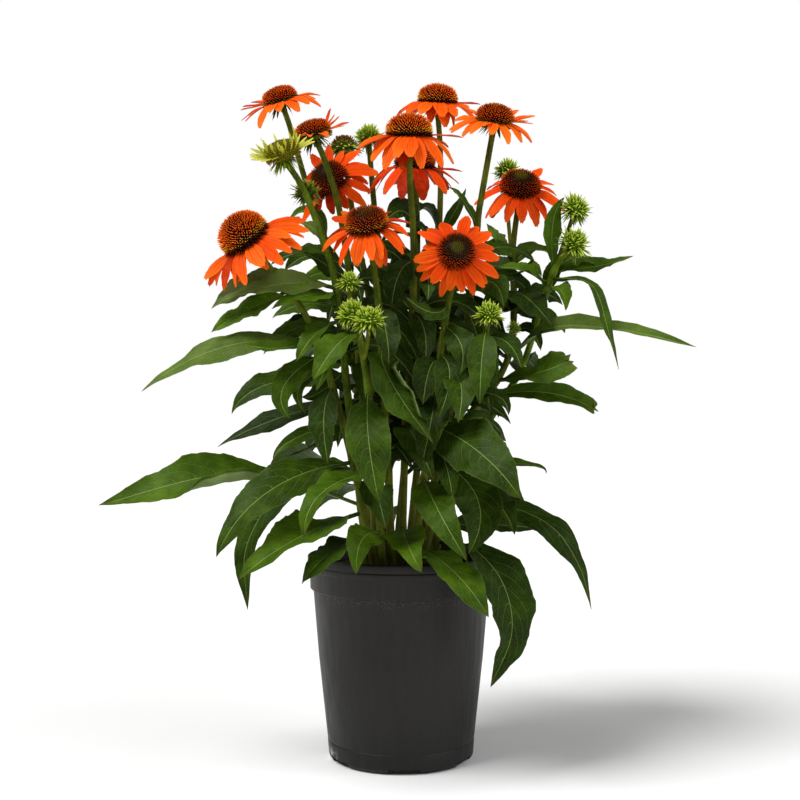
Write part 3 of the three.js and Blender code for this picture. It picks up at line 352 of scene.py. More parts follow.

# Rays listed one by one: the tip from the bloom's centre, the width, and how far the ray rolls up into a
# channel, from 0 to 1. A tip is (right, back, up), with right and up as the eye sees them at the bloom's
# distance.
# A rule fills the rest of the ring.
RAYS = {
    "a": [
        (-40, 4, -5, 3.2, 1), (-38, 14, -1.5, 3, 1), (-29.5, 24, 3, 5, 0.6), (-39, -4, -14.6, 3, 1),
        (-35, -10, -15.5, 4.5, 0.6), (-21, -20, -22, 9.5, 0.1), (-13.6, -33, -6, 11, 0.1),
        (-2, -36, -6, 10, 0), (16, -30, -6, 11.5, 0.1), (37, -8, -1.4, 7, 0.3), (36.5, 12, 10, 6, 0.4),
        (32, 4, 6, 8, 0.1), (10, 34, 4, 8, 0.3), (-10, 34, 2, 8, 0.3),
    ],
    "b": [
        (-13, -20, 3, 6, 0.5), (-5, -24, 2.5, 5.5, 0.3), (-16, -10, 1, 6, 0.6), (11, -22, 2.4, 8, 0.2),
        (13, 14, 28, 4.5, 0.8), (17, 20, 22.5, 3, 1), (21, 12, 21, 5, 0.5), (30, 4, 15, 5, 0.6),
        (-20, 4, 6, 5, 0.5), (-13, 18, 8, 5, 0.7), (3, 24, 12, 4.5, 0.8),
    ],
    "c": [
        (-30.5, -4, 5.6, 3.4, 0.3), (-29.6, 4, 10.7, 3.2, 0.3), (-29, -11, 7, 3.2, 0.3),
        (-24, -14, 13, 3.2, 0.2), (-25, 12, 14, 2.4, 0.3), (-18.6, -17, 18, 3.2, 0.2),
        (-12.6, -21, 15, 3.4, 0), (-6.6, -22, 16, 3.2, 0), (-1.5, -21, 20, 3.2, 0.2),
        (2.7, -17, 25, 2.4, 0.4), (6.1, -11, 30, 2.4, 0.4), (9.5, -15, 24, 3.2, 0.2),
        (12, -17, 19, 3.4, 0.1), (17, -12, 17, 3.2, 0.2), (-21, 16, 19, 2.4, 0.4), (-10, 18, 24, 2.4, 0.4),
    ],
    "f": [
        (-22, 30, 18, 9, 0.2), (-30, 25, 13, 11.5, 0.1), (-35, 12, -9, 7.5, 0.6), (-29, -4, -17.5, 7.5, 0.3),
        (-23, -14, -28.5, 8, 0.5), (-9.5, -22, -29, 12, 0.15), (11, -16, -30, 10, 0.1),
        (12, -26, -23.5, 9, 0.1), (15.5, -14, -29, 8, 0.2), (30.5, -12, -19, 10, 0.1), (32, -2, -14, 7, 0.1),
        (34.7, 4, -3.3, 10.5, 0.1), (36, 18, 7, 5, 1), (19.6, 32, 17, 6, 0.6),
    ],
    "g": [
        (-21, 24, 29, 9.5, 0.1), (-5, 24, 38, 9.5, 0.1), (25, 22, 32.5, 12, 0), (32.5, 14, 18.6, 9.5, 0),
        (41.6, 4, 11, 12.5, 0), (32.5, 6, 1, 7, 0), (35, -6, -7, 8.5, 0.1), (29.7, -14, -19, 9.5, 0),
        (14, -8, -22, 10, 0), (0, -12, -27, 8.5, 0.1), (-13, -4, -24, 9, 0.5), (-26, 4, -16, 9, 0.6),
    ],
    "h": [
        (-40, -6, -28, 11, 0.1), (-36, 8, -34, 9.5, 0), (-30, 20, -34, 6, 0.2), (-23, -20, -38, 9, 0.1),
        (-13, -28, -35, 5.5, 0.6), (-10, -26, -31, 7, 0.2), (-5, -32, -33, 10, 0.1), (10, -36, -18, 14.5, 0),
        (14, -28, -20, 10, 0.3), (34, -28, -6, 9, 0.1), (42, -15, -3, 9.5, 0), (33, -18, 7, 10, 0.1),
        (44, 8, 7, 8, 0), (44, 15, 21, 12, 0), (41, 28, 24, 3.5, 1),
    ],
    "i": [
        (9.7, 17, 34, 11, 0), (19, 18, 24, 8.5, 0), (30, 12, 19, 10.5, 0.1), (32.5, 14, 6, 8, 0),
        (36.7, 7, -3, 11, 0), (36, 2, -19, 9.5, 0.1), (27, 5, -24, 8.5, 0), (15.6, -4, -34, 8.5, 0.1),
        (5.5, -6, -32, 9.5, 0), (-5, -4, -30, 9.5, 0.1), (-13, -1, -35.5, 8, 0), (-20.7, -5, -24, 10.5, 0),
        (-30, 2, -22, 8, 0), (-33, -1, -13, 9.5, 0.1), (-27, 5, 1, 7.5, 0), (-28, 9, 7, 8, 0),
        (-31.6, 10.5, 19.7, 9, 0.1), (-24, 14, 23, 9, 0), (-12, 14, 28, 11.5, 0), (-1, 18, 22, 7, 0.1),
    ],
    "j": [
        (-46, 0, -7, 13, 0), (-32, -25, -18, 14, 0), (-21.6, -32, -25.5, 12.5, 0), (-11, -40, -15, 12.5, 0),
        (1, -42, -14, 14, 0), (11, -38, -24.6, 13, 0.1), (28.5, -26, -23, 11.5, 0), (39, -8, -20, 10, 0),
        (47, 14, 2.6, 3.5, 0.9), (-30, 32, -6, 12, 0), (-8, 42, -8, 12, 0), (16, 40, -8, 12, 0),
        (34, 28, -6, 11, 0), (-6, -30, -26, 11, 0),
    ],
    "k": [
        (-43, -10, -22, 12, 0.1), (-36, 12, -20, 9, 0), (-12, -38, -26.6, 14, 0), (8.5, -38, -27, 14, 0),
        (30, -28, -21, 11, 0), (42, -10, -12, 6.5, 0.3), (35.5, 14, -14.5, 7, 0), (46, 12, 0, 4, 0.8),
        (-28, -30, -22, 10, 0),
    ],
    "l": [
        (-39, 8, -8, 6, 0.8), (-36, 20, -7, 5, 0.7), (-30, -24, -7, 12, 0.1), (-16.6, -38, -7, 13, 0),
        (-7, -30, -15, 11, 0), (4, -42, -10, 14, 0), (8, -34, -20, 12, 0), (18, -34, -9, 13, 0),
        (31, -20, -2, 13, 0), (16, 25, -19, 8, 0), (42, 10, 3, 4, 1),
    ],
    "m": [
        (-35, 14, 5, 9.5, 0), (-25.5, 26, 15, 5.5, 0.4), (-28, -14, -9, 7, 0.3), (-21, -26, -7, 9, 0),
        (-9, -30, 0, 7, 0.1), (-2, -36, -8, 9.5, 0), (25, -18, -15, 9, 0.1), (37, 12, 10, 6.5, 0.5),
        (31, -6, 4.6, 7, 0.1), (35.5, 4, 2, 3.2, 1), (22, 28, 15, 7, 0.1),
    ],
    "n": [
        (-43, 6, -11, 10.5, 0), (-33, 18, -5, 13, 0.1), (-32.5, -8, -24, 6.5, 0.5), (-27, 0, -23, 10.5, 0),
        (-13, -22, -27.6, 9.5, 0.1), (2, -26, -28.6, 10.5, 0), (16, -16, -32, 11, 0),
        (25.5, -12, -26, 10.5, 0), (41, 2, -10, 6.5, 0.2), (35, 20, -2.4, 10, 0), (21, 24, 24, 9.5, 0),
        (-3, 34, 23.5, 10, 0),
    ],
}

# Rays in the shade of other blooms, by their place in the lists above: they are painted a deep red, as
# painted shade.
SHADED_RAYS = {"f": (2, 8), "g": (9, 10, 11), "h": (1, 3), "k": (2, 3), "n": (3,), "j": (13,)}

# ---------- paths and frames ----------


def unit(vectors):
    return vectors / np.linalg.norm(vectors, axis=-1, keepdims=True)


def smooth(values, low, high):
    """0 below low, 1 above high, and a smooth rise between."""
    share = np.clip((values - low) / (high - low), 0, 1)
    return share * share * (3 - 2 * share)


def angles_round(count):
    return TURN * np.arange(count) / count


def vectors_of(x, y, z):
    """Three arrays that broadcast together, as one array of vectors."""
    return np.stack(np.broadcast_arrays(x, y, z), axis=-1).astype(float)


def bend(start, corner, end, t):
    """A parabola that leaves its start and meets its end as the two sides of a corner do."""
    return (1 - t) ** 2 * start + 2 * t * (1 - t) * corner + t * t * end


def arc(points, count=160):
    """A parabola from the first point through the second's height to the third."""
    start, belly, end = points
    return bend(start, 2 * belly - (start + end) / 2, end, np.linspace(0, 1, count)[:, None])


def spline(points, count=48):
    """A Catmull-Rom spline through the points, with its ends mirrored."""
    ring = np.vstack([2 * points[0] - points[1], points, 2 * points[-1] - points[-2]])
    t = np.linspace(0, 1, count, endpoint=False)[:, None]
    stretches = []
    for a, b, c, d in zip(ring, ring[1:], ring[2:], ring[3:]):
        rise, fall = (c - a) / 2, (d - b) / 2
        square, cube = 3 * (c - b) - 2 * rise - fall, 2 * (b - c) + rise + fall
        stretches.append(b + rise * t + square * t**2 + cube * t**3)
    return np.vstack([*stretches, points[-1:]])


class Path:
    """A smooth path through given points, read by its share of the whole length."""

    def __init__(self, points):
        points = np.array(points, float)
        self.line = arc(points) if len(points) == 3 else spline(points)
        self.end = self.line[-1]
        steps = np.linalg.norm(np.diff(self.line, axis=0), axis=1)
        self.length = steps.sum()
        self.shares = np.concatenate([[0], np.cumsum(steps)]) / self.length

    def points(self, shares):
        return np.stack([np.interp(shares, self.shares, self.line[:, k]) for k in range(3)], axis=-1)

    def tangents(self, shares):
        step = 0.01
        ahead = self.points(np.minimum(shares + step, 1))
        behind = self.points(np.maximum(shares - step, 0))
        return unit(ahead - behind)

    def frames(self, shares, face):
        """Middles, upper normals and right-hand sides. The normals lean to `face`."""
        tangents = self.tangents(shares)
        face = np.array(face, float)
        normals = unit(face - tangents * (tangents @ face)[:, None])
        return self.points(shares), normals, np.cross(tangents, normals)

    def at_height(self, height):
        """The point at a height in the middle of a stem."""
        after = int(np.argmax(self.line[:, 2] > height))
        low, high = self.line[after - 1], self.line[after]
        return low + (high - low) * (height - low[2]) / (high[2] - low[2])


def stem_path(name):
    route = STEMS[name]["route"]
    return Path([(*route[0][:2], ROOT_HEIGHT), *route])


def turned(vectors, axis):
    """Vectors made round +Z, turned the shortest way so that +Z becomes the axis."""
    axis = unit(np.array(axis, float))
    cross = np.cross(Z_AXIS, axis)
    return vectors + np.cross(cross, vectors) + np.cross(cross, np.cross(cross, vectors)) / (1 + axis[2])


def directions_round(axis, angles):
    return turned(vectors_of(np.cos(angles), np.sin(angles), 0), axis)


def rings_round(reaches, levels, sides):
    """Rings of points round +Z, each with its radius and its height."""
    angles = angles_round(sides)
    reaches, levels = np.array(reaches)[:, None], np.array(levels)[:, None]
    return vectors_of(reaches * np.cos(angles), reaches * np.sin(angles), levels)


def closed_rings(upper, lower):
    """Rings round a blade, out of rows of points over its upper side and its underside."""
    return np.concatenate([upper, lower[:, -2:0:-1]], axis=1)


# ---------- meshes ----------


def band(count, sides):
    """The numbers of the points of some rings, the numbers of their neighbours, and the quads between."""
    rings = np.arange(count * sides).reshape(count, sides)
    after = np.roll(rings, -1, axis=1)
    return rings, after, np.stack([rings[:-1], after[:-1], after[1:], rings[1:]], axis=-1).reshape(-1, 4)


def with_ends(values):
    """Values at the points of rings, and their means for the point that closes each end."""
    return np.vstack([values.reshape(-1, 3), values[0].mean(axis=0), values[-1].mean(axis=0)])


BLANK = (0.0, 0.0, 0.0)


class Skin:
    """Closed shells of one piece, with two vectors at each point that its materials read."""

    def __init__(self):
        self.points = []
        self.faces = []
        self.kinds = []
        self.place = []
        self.look = []
        self.count = 0

    def add(self, points, faces, place, look, kind=0):
        self.points.append(points.reshape(-1, 3))
        for block in faces:
            self.faces.extend((block + self.count).tolist())
            self.kinds.append(np.full(len(block), kind))
        self.place.append(place.reshape(-1, 3))
        self.look.append(look.reshape(-1, 3))
        self.count += len(self.points[-1])

    def loft(self, rings, place=BLANK, look=BLANK, kind=0, start=None, tip=None):
        """A skin over rings of points that run anticlockwise seen from the tip. Each end is closed by a
        point, in the ring's middle if none is given."""
        count, sides = rings.shape[:2]
        place, look = np.broadcast_to(place, rings.shape), np.broadcast_to(look, rings.shape)
        numbers, after, quads = band(count, sides)
        feet = np.stack([after[0], numbers[0], np.full(sides, count * sides)], axis=-1)
        tops = np.stack([numbers[-1], after[-1], np.full(sides, count * sides + 1)], axis=-1)
        points = with_ends(rings)
        if start is not None:
            points[-2] = start
        if tip is not None:
            points[-1] = tip
        self.add(points, [quads, feet, tops], with_ends(place), with_ends(look), kind)

    def spikes(self, roots, ways, bends, lengths, halves, outline, place, look, kind=0, sides=4):
        """Many pointed spikes at once. Their outline says where their rings stand, how wide those are, and
        how flat the spikes are. The bends pull the tips. place[0] is the share along a spike."""
        shares, widths, flat = outline
        many, levels = len(roots), len(shares)
        halves = np.broadcast_to(halves, many)
        lying = np.abs(ways[:, 2:]) <= 0.9
        across = unit(np.cross(np.where(lying, [0.0, 0.0, 1.0], [0.0, 1.0, 0.0]), ways))
        upper = np.cross(ways, across)
        angles = angles_round(sides)
        along = np.append(shares, 1.0)
        reach = (lengths[:, None] * along)[..., None]
        middles = roots[:, None] + ways[:, None] * reach + bends[:, None] * reach * along[:, None]
        spread = (halves[:, None] * np.array(widths))[..., None]
        rings = middles[:, :-1, None] + across[:, None, None] * (spread * np.cos(angles))[..., None]
        rings = rings + upper[:, None, None] * (flat * spread * np.sin(angles))[..., None]
        points = np.concatenate([rings.reshape(many, -1, 3), middles[:, -1:]], axis=1)
        size = levels * sides + 1
        numbers, after, quads = band(levels, sides)
        tops = np.stack([numbers[-1], after[-1], np.full(sides, size - 1)], axis=-1)
        first = (np.arange(many) * size)[:, None, None]
        faces = [(block + first).reshape(-1, block.shape[1]) for block in (quads, tops, numbers[:1, ::-1])]
        along = np.append(np.repeat(shares, sides), 1.0)
        height, draw = (np.reshape(value, (-1, 1)) for value in place)
        places = np.broadcast_to(vectors_of(along, height, draw), points.shape)
        looks = np.broadcast_to(vectors_of(*(np.reshape(value, (-1, 1)) for value in look)), points.shape)
        self.add(points, faces, places, looks, kind)

    def piece(self, name, materials, slot, nodes, crease=55):
        mesh = bpy.data.meshes.new(name)
        mesh.from_pydata((np.concatenate(self.points) * MM).tolist(), [], self.faces)
        for title, values in (("place", self.place), ("look", self.look)):
            attribute = mesh.attributes.new(title, "FLOAT_VECTOR", "POINT")
            attribute.data.foreach_set("vector", np.concatenate(values).astype(np.float32).ravel())
        for material in materials:
            mesh.materials.append(MATERIALS[material])
        mesh.polygons.foreach_set("material_index", np.concatenate(self.kinds).astype(np.int32))
        mesh.shade_smooth()
        mesh.set_sharp_from_angle(angle=math.radians(crease))
        mesh.update()
        made = add_object(name, mesh)
        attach(made, "root")
        if nodes:
            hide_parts(*nodes)
        return made


def add_object(name, data):
    made = bpy.data.objects.new(name, data)
    bpy.context.scene.collection.objects.link(made)
    return made


# ---------- materials ----------


def linear(colour):
    """A colour given in 0 to 255 as on a screen, as the shader's linear light."""
    shares = [channel / 255 for channel in colour]
    return (*[c / 12.92 if c <= 0.04045 else ((c + 0.055) / 1.055) ** 2.4 for c in shares], 1.0)


class Paint:
    """A node material put together by plain calls, which holds the colour so far. A value is a number, a
    socket, or a colour in 0 to 255. Places in the object are in metres."""

    def __init__(self, name, roughness, specular=0.5):
        self.material = bpy.data.materials.new(name)
        self.material.use_nodes = True
        self.tree = self.material.node_tree
        self.shader = self.tree.nodes["Principled BSDF"]
        self.set(self.shader, Roughness=roughness, Specular_IOR_Level=specular)
        self.spot = self.node("TexCoord").outputs["Object"]
        self.colour = None

    def set(self, node, **values):
        for title, value in values.items():
            self.fill(node.inputs[title.replace("_", " ")], value)
        return node

    def fill(self, socket, value):
        if isinstance(value, bpy.types.NodeSocket):
            self.tree.links.new(value, socket)
        else:
            socket.default_value = linear(value) if socket.type == "RGBA" else value

    def node(self, kind, *values, **named):
        """A new node with its first inputs filled in order, and others by name."""
        made = self.tree.nodes.new("ShaderNode" + kind)
        for socket, value in zip(made.inputs, values):
            self.fill(socket, value)
        return self.set(made, **named)

    def parts(self, vector):
        """The three numbers of a vector."""
        return self.node("SeparateXYZ", vector).outputs

    def split(self, attribute):
        """The three numbers of a point attribute."""
        source = self.node("Attribute")
        source.attribute_name = attribute
        return self.parts(source.outputs["Vector"])

    def maths(self, operation, first, second=0.0):
        node = self.node("Math", first, second)
        node.operation = operation
        return node.outputs[0]

    def times(self, first, second):
        return self.maths("MULTIPLY", first, second)

    def minus(self, first, second):
        return self.maths("SUBTRACT", first, second)

    def size(self, value):
        return self.maths("ABSOLUTE", value)

    def rise(self, value, low, high, start=0, end=1):
        """A smooth step from start to end as the value goes from low to high."""
        node = self.node("MapRange", value, low, high, start, end)
        node.interpolation_type = "SMOOTHSTEP"
        return node.outputs[0]

    def fall(self, value, low, high, start=1, end=0):
        return self.rise(value, low, high, start, end)

    def noise(self, scale, detail=3, roughness=0.55, vector=None):
        vector = self.spot if vector is None else vector
        node = self.node("TexNoise", Vector=vector, Scale=scale, Detail=detail, Roughness=roughness)
        return node.outputs[0]

    def streaks(self, across, along):
        """Noise that is stretched up and down, with its scale across and along."""
        stretched = self.node("VectorMath", self.spot, (across, across, along))
        stretched.operation = "MULTIPLY"
        return self.noise(1, vector=stretched.outputs[0])

    def net(self, scale):
        """How far it is to the nearest line of a net of cells."""
        node = self.node("TexVoronoi", Vector=self.spot, Scale=scale)
        node.feature = "DISTANCE_TO_EDGE"
        return node.outputs["Distance"]

    def mix(self, share, first, second):
        node = self.tree.nodes.new("ShaderNodeMix")
        node.data_type = "RGBA"
        factor, colour_a, colour_b, mixed = node.inputs[0], node.inputs[6], node.inputs[7], node.outputs[2]
        self.fill(factor, share)
        self.fill(colour_a, first)
        self.fill(colour_b, second)
        return mixed

    def over(self, share, colour):
        """Lays a colour over the colour so far, as strongly as the share says."""
        self.colour = self.mix(share, self.colour, colour)

    def ramp(self, value, stops):
        """A run of colours, with the value where each of them stands."""
        node = self.node("ValToRGB", value)
        elements = node.color_ramp.elements
        while len(elements) < len(stops):
            elements.new(0.5)
        for element, (position, colour) in zip(elements, stops.items()):
            element.position = position
            element.color = linear(colour)
        return node.outputs["Color"]

    def finish(self, relief=None, depth=0.0, strength=1.0, glow=0.0, glow_colour=None):
        """The material, with its colour and relief set. `glow` is the share of light that passes through
        from behind, in the glow colour."""
        self.set(self.shader, Base_Color=self.colour)
        if relief is not None:
            bump = self.node("Bump", Height=relief, Distance=depth, Strength=strength)
            self.set(self.shader, Normal=bump.outputs[0])
        if glow:
            through = self.node("BsdfTranslucent", glow_colour)
            both = self.node("MixShader", glow, self.shader.outputs[0], through.outputs[0])
            self.set(self.tree.nodes["Material Output"], Surface=both.outputs[0])
        return self.material


def leaf_veins(paint, edge, along, phase, across_mm):
    """How strongly the midrib, the side veins and the net of fine veins show."""
    rib = paint.times(paint.fall(paint.size(across_mm), 0.1, 0.42), paint.fall(along, 0.8, 1, end=0.2))
    wave = paint.size(paint.minus(paint.maths("FRACT", phase), 0.5))
    vein = paint.times(paint.fall(wave, 0.008, 0.034), paint.fall(edge, 0.5, 1, end=0.1))
    return rib, vein, paint.fall(paint.net(380), 0, 0.14)


def leaf_green(paint, mottle, tint):
    """Deep green, light green or grey-green, by the leaf's tint; the grey-green is partly felt, partly
    painted light.
    """
    dark = paint.ramp(mottle, {0.3: (18, 33, 1), 0.5: (27, 47, 2), 0.72: (40, 64, 3)})
    light = paint.ramp(mottle, {0.3: (58, 86, 3), 0.5: (74, 106, 8), 0.72: (94, 126, 18)})
    felt_and_light = paint.mix(mottle, (82, 98, 40), (106, 119, 66))
    return paint.mix(paint.minus(tint, 1), paint.mix(paint.rise(tint, 0, 1), dark, light), felt_and_light)


def leaf_material():
    """Satin green with a pale midrib, curved side veins and a fine net. place is (across, along, underside)
    and look is (vein phase, millimetres across, tint)."""
    paint = Paint("leaf", 0.42, 0.07)
    across, along, under = paint.split("place")
    phase, across_mm, tint = paint.split("look")
    edge = paint.size(across)
    mottle = paint.noise(60, 4)
    fine = paint.noise(1100)
    rib, vein, net = leaf_veins(paint, edge, along, phase, across_mm)
    paint.colour = leaf_green(paint, mottle, tint)
    paint.over(paint.times(net, 0.05), (152, 174, 84))
    paint.over(paint.times(vein, 0.27), (152, 174, 84))
    paint.over(paint.times(rib, 0.62), (150, 172, 92))
    paint.over(paint.rise(edge, 0.95, 1, end=0.4), (110, 126, 60))
    grey = paint.mix(mottle, (100, 120, 60), (136, 154, 98))
    # Painted shade: on leaves whose edge is not rolled, the underside is darkened to deep green; a rolled
    # edge keeps the pale grey underside.
    grey = paint.mix(paint.rise(under, 0.5, 1), (50, 68, 22), grey)
    grey = paint.mix(paint.times(paint.maths("MAXIMUM", vein, rib), 0.6), grey, (160, 172, 118))
    paint.over(paint.times(under, 0.85), grey)
    paint.over(paint.rise(along, 0.88, 1, end=0.3), (96, 92, 34))
    paint.set(paint.shader, Roughness=paint.rise(fine, 0.3, 0.7, 0.32, 0.5))
    relief = paint.minus(paint.times(fine, 0.5), paint.maths("ADD", paint.times(net, 0.35), vein))
    return paint.finish(relief, 0.0005, 0.6, 0.08, (92, 140, 6))


def stem_material():
    """Olive with fine ridges, brown flecks and a paler foot, which painted shade darkens near the soil. place
    is (0, along, 0) and look is (height in millimetres, tint, 0)."""
    paint = Paint("stem", 0.5, 0.06)
    _, along, _ = paint.split("place")
    height, tint, _ = paint.split("look")
    streak = paint.streaks(900, 40)
    mottle = paint.noise(60)
    olive = paint.ramp(mottle, {0.3: (48, 48, 7), 0.5: (68, 66, 11), 0.7: (92, 86, 22)})
    green = paint.ramp(mottle, {0.3: (50, 72, 5), 0.5: (74, 98, 10), 0.7: (100, 124, 24)})
    paint.colour = paint.mix(tint, olive, green)
    paint.over(paint.rise(streak, 0.45, 0.7, end=0.35), (124, 124, 40))
    paint.over(paint.rise(paint.noise(1500, 2), 0.66, 0.74, end=0.6), (64, 36, 18))
    paint.over(paint.fall(along, 0.1, 0.35, 0.6), (124, 130, 44))
    # Painted shade: each stem darkens near the soil.
    paint.over(paint.fall(height, 180, 222, 0.65), (36, 34, 12))
    return paint.finish(streak, 0.0004, 0.7)


def bract_material():
    """Green spikes that pale to yellow at their tips. place is (along the spike, height share, draw), and
    look is (darkness, brownness, 0)."""
    paint = Paint("bract", 0.5, 0.12)
    along, _, draw = paint.split("place")
    dark, brown, _ = paint.split("look")
    stops = {0.0: (42, 62, 4), 0.25: (98, 128, 12), 0.6: (164, 190, 38), 1.0: (226, 232, 116)}
    paint.colour = paint.ramp(along, stops)
    paint.over(paint.times(draw, 0.3), (84, 122, 20))
    paint.over(dark, paint.mix(along, (34, 44, 12), (20, 22, 8)))
    paint.over(brown, paint.mix(along, (60, 46, 10), (126, 92, 20)))
    return paint.finish(paint.noise(500, 2), 0.0003, 0.4)


def ray_grooves(paint, across, along):
    """How strongly the two grooves along a ray show, and the fainter one between them."""
    side = paint.size(across)
    outer = paint.fall(paint.size(paint.minus(side, 0.36)), 0.02, 0.13)
    grooves = paint.maths("MAXIMUM", outer, paint.fall(side, 0.02, 0.1, 0.6))
    return paint.times(grooves, paint.fall(along, 0.6, 1, 0.5, 0.1))


def ray_underside(paint, streak, glow, purple):
    below = paint.mix(paint.rise(streak, 0.4, 0.65), (214, 80, 34), (196, 60, 44))
    below = paint.mix(purple, below, (182, 66, 84))
    return paint.mix(paint.rise(glow, 0.4, 1, end=0.75), below, (240, 146, 96))


def ray_material():
    """Orange-red rays with lengthwise grooves. place is (across, along, underside), and look is
    (glow, tint, purple)."""
    paint = Paint("ray", 0.5, 0.04)
    across, along, under = paint.split("place")
    glow, tint, purple = paint.split("look")
    streak = paint.noise(1.6, vector=paint.node("CombineXYZ", paint.times(across, 7), along, tint).outputs[0])
    mottle = paint.noise(160)
    red = paint.ramp(along, {0.0: (190, 40, 3), 0.25: (232, 66, 6), 0.75: (248, 82, 12), 1.0: (252, 102, 24)})
    orange = paint.ramp(along, {0.0: (222, 76, 6), 0.3: (250, 104, 12), 1.0: (255, 130, 30)})
    paint.colour = paint.mix(glow, red, orange)
    # Painted shade: rays whose glow is below 0, as in shaded blooms and shaded rays, darken towards deep red.
    paint.over(paint.fall(glow, -0.8, 0, 0.8), (112, 8, 0))
    # Painted shade: the grooves along each ray are darkened to a deeper red.
    paint.over(ray_grooves(paint, across, along), (186, 28, 2))
    paint.over(paint.rise(streak, 0.42, 0.7, end=0.35), (206, 36, 4))
    paint.over(paint.rise(mottle, 0.45, 0.75, end=0.2), (255, 112, 30))
    paint.over(paint.times(under, 0.85), ray_underside(paint, streak, glow, purple))
    relief = paint.maths("ADD", streak, paint.times(mottle, 0.4))
    return paint.finish(relief, 0.0006, 0.55, 0.16, (255, 44, 0))


def young_ray_material():
    """Narrow lime rays of an opening bloom, yellower at their tips. place is as for other rays."""
    paint = Paint("young_ray", 0.5, 0.12)
    _, along, _ = paint.split("place")
    mottle = paint.noise(300, 2)
    paint.colour = paint.ramp(along, {0.0: (104, 126, 20), 0.4: (164, 180, 44), 1.0: (226, 226, 92)})
    paint.over(paint.times(mottle, 0.3), (186, 160, 40))
    return paint.finish(mottle, 0.0003, 0.5, 0.15, (190, 200, 30))


# The colours of a floret from its foot, 0, to its tip, 1.
FLORETS = {
    "old": {0.0: (14, 4, 1), 0.45: (64, 16, 2), 0.66: (232, 84, 6), 1.0: (255, 142, 20)},
    "red": {0.0: (12, 4, 1), 0.5: (48, 12, 2), 0.72: (164, 46, 4), 1.0: (236, 90, 12)},
    "low": {0.0: (8, 3, 1), 0.7: (40, 13, 4), 0.88: (92, 34, 10), 1.0: (176, 96, 36)},
    "low_olive": {0.0: (18, 18, 2), 0.6: (76, 70, 8), 1.0: (160, 140, 34)},
    "gold": {0.0: (20, 8, 1), 0.5: (120, 60, 3), 0.75: (250, 170, 16), 1.0: (255, 212, 64)},
    "olive": {0.0: (20, 13, 2), 0.5: (50, 31, 4), 0.85: (98, 54, 8), 1.0: (140, 78, 14)},
    "lime": {0.0: (84, 92, 8), 0.6: (136, 138, 24), 1.0: (168, 118, 30)},
}


def cone_material():
    """Spikes that go from near black to orange tips, dull in the lower rows and olive in a young heart.
    place is (along the spike, height share, draw), and look is (ripeness, greenness, pollen)."""
    paint = Paint("cone", 0.55, 0.12)
    along, height, draw = paint.split("place")
    ripe, green, pollen = paint.split("look")
    shades = {name: paint.ramp(along, stops) for name, stops in FLORETS.items()}
    mixed = paint.mix(paint.rise(draw, 0.5, 0.85, end=0.5), shades["old"], shades["red"])
    paint.colour = paint.mix(ripe, shades["red"], mixed)
    greener = paint.times(green, paint.rise(ripe, 0.2, 0.6))
    paint.over(paint.fall(height, 0.18, 0.4), paint.mix(greener, shades["low"], shades["low_olive"]))
    paint.over(pollen, shades["gold"])
    topmost = paint.times(green, paint.rise(height, 0.9, 0.98))
    heart = paint.times(paint.rise(height, 0.62, 0.88), paint.minus(1, ripe))
    paint.over(heart, paint.mix(topmost, shades["olive"], shades["lime"]))
    return paint.finish(paint.noise(700, 2), 0.0002, 0.4)


def add_pot_dirt(paint, z):
    """Black and pale crumbs in patches under the collar."""
    speck = paint.noise(900, roughness=0.6)
    brim = POT_BODY["height"] * MM
    strip = paint.times(paint.rise(z, brim - 0.011, brim - 0.001), paint.fall(z, brim, brim + 0.003))
    dirt = paint.times(strip, paint.rise(paint.noise(90), 0.36, 0.5))
    paint.over(paint.times(dirt, paint.rise(speck, 0.5, 0.56)), (8, 7, 5))
    paint.over(paint.times(dirt, paint.rise(speck, 0.44, 0.4)), (62, 57, 48))


def add_pot_scuff(paint, x, y, z):
    """A scuffed pale patch at the foot on the left."""
    corner = paint.times(paint.rise(x, -0.054, -0.064), paint.fall(y, 0, 0.02))
    patch = paint.rise(paint.noise(150, 4, 0.7), 0.46, 0.6)
    paint.over(paint.times(patch, paint.times(paint.fall(z, 0.003, 0.015), corner)), (206, 204, 198))


def pot_material():
    """Moulded black plastic: fine grain, pale vertical streaks that are partly dust and partly painted sheen,
    painted shade that darkens the lower part, crumbs under the collar and a scuffed foot.
    """
    paint = Paint("pot_plastic", 0.46, 0.3)
    x, y, z = paint.parts(paint.spot)
    streak = paint.streaks(260, 14)
    paint.colour = paint.mix(paint.noise(22, 4), (17, 15, 12), (24, 22, 18))
    # The pale vertical streaks are partly dust and partly painted sheen.
    paint.over(paint.rise(streak, 0.55, 0.8, end=0.07), (88, 84, 76))
    # Painted shade: the pot darkens towards its foot.
    paint.over(paint.fall(z, 0, 0.08, 0.85), (8, 8, 7))
    add_pot_dirt(paint, z)
    add_pot_scuff(paint, x, y, z)
    paint.set(paint.shader, Roughness=paint.rise(streak, 0.3, 0.7, 0.42, 0.56))
    relief = paint.maths("ADD", paint.times(paint.noise(1800, 2), 0.5), paint.times(streak, 0.3))
    return paint.finish(relief, 0.0003, 0.5)


def soil_material():
    """Dark crumbly peat with paler fibres. look is (paleness, 0, 0)."""
    paint = Paint("peat", 0.95, 0.2)
    pale, _, _ = paint.split("look")
    mottle = paint.noise(220, 5, 0.7)
    paint.colour = paint.ramp(mottle, {0.3: (22, 15, 10), 0.5: (44, 31, 21), 0.7: (76, 56, 38)})
    paint.over(pale, (168, 158, 138))
    return paint.finish(paint.noise(900, 4, 0.7), 0.001, 0.8)


MATERIALS = {
    "leaf": leaf_material(),
    "stem": stem_material(),
    "bract": bract_material(),
    "ray": ray_material(),
    "young_ray": young_ray_material(),
    "cone": cone_material(),
    "pot": pot_material(),
    "soil": soil_material(),
}
STEM_KIND, LEAF_KIND, BRACT_KIND = 0, 1, 2

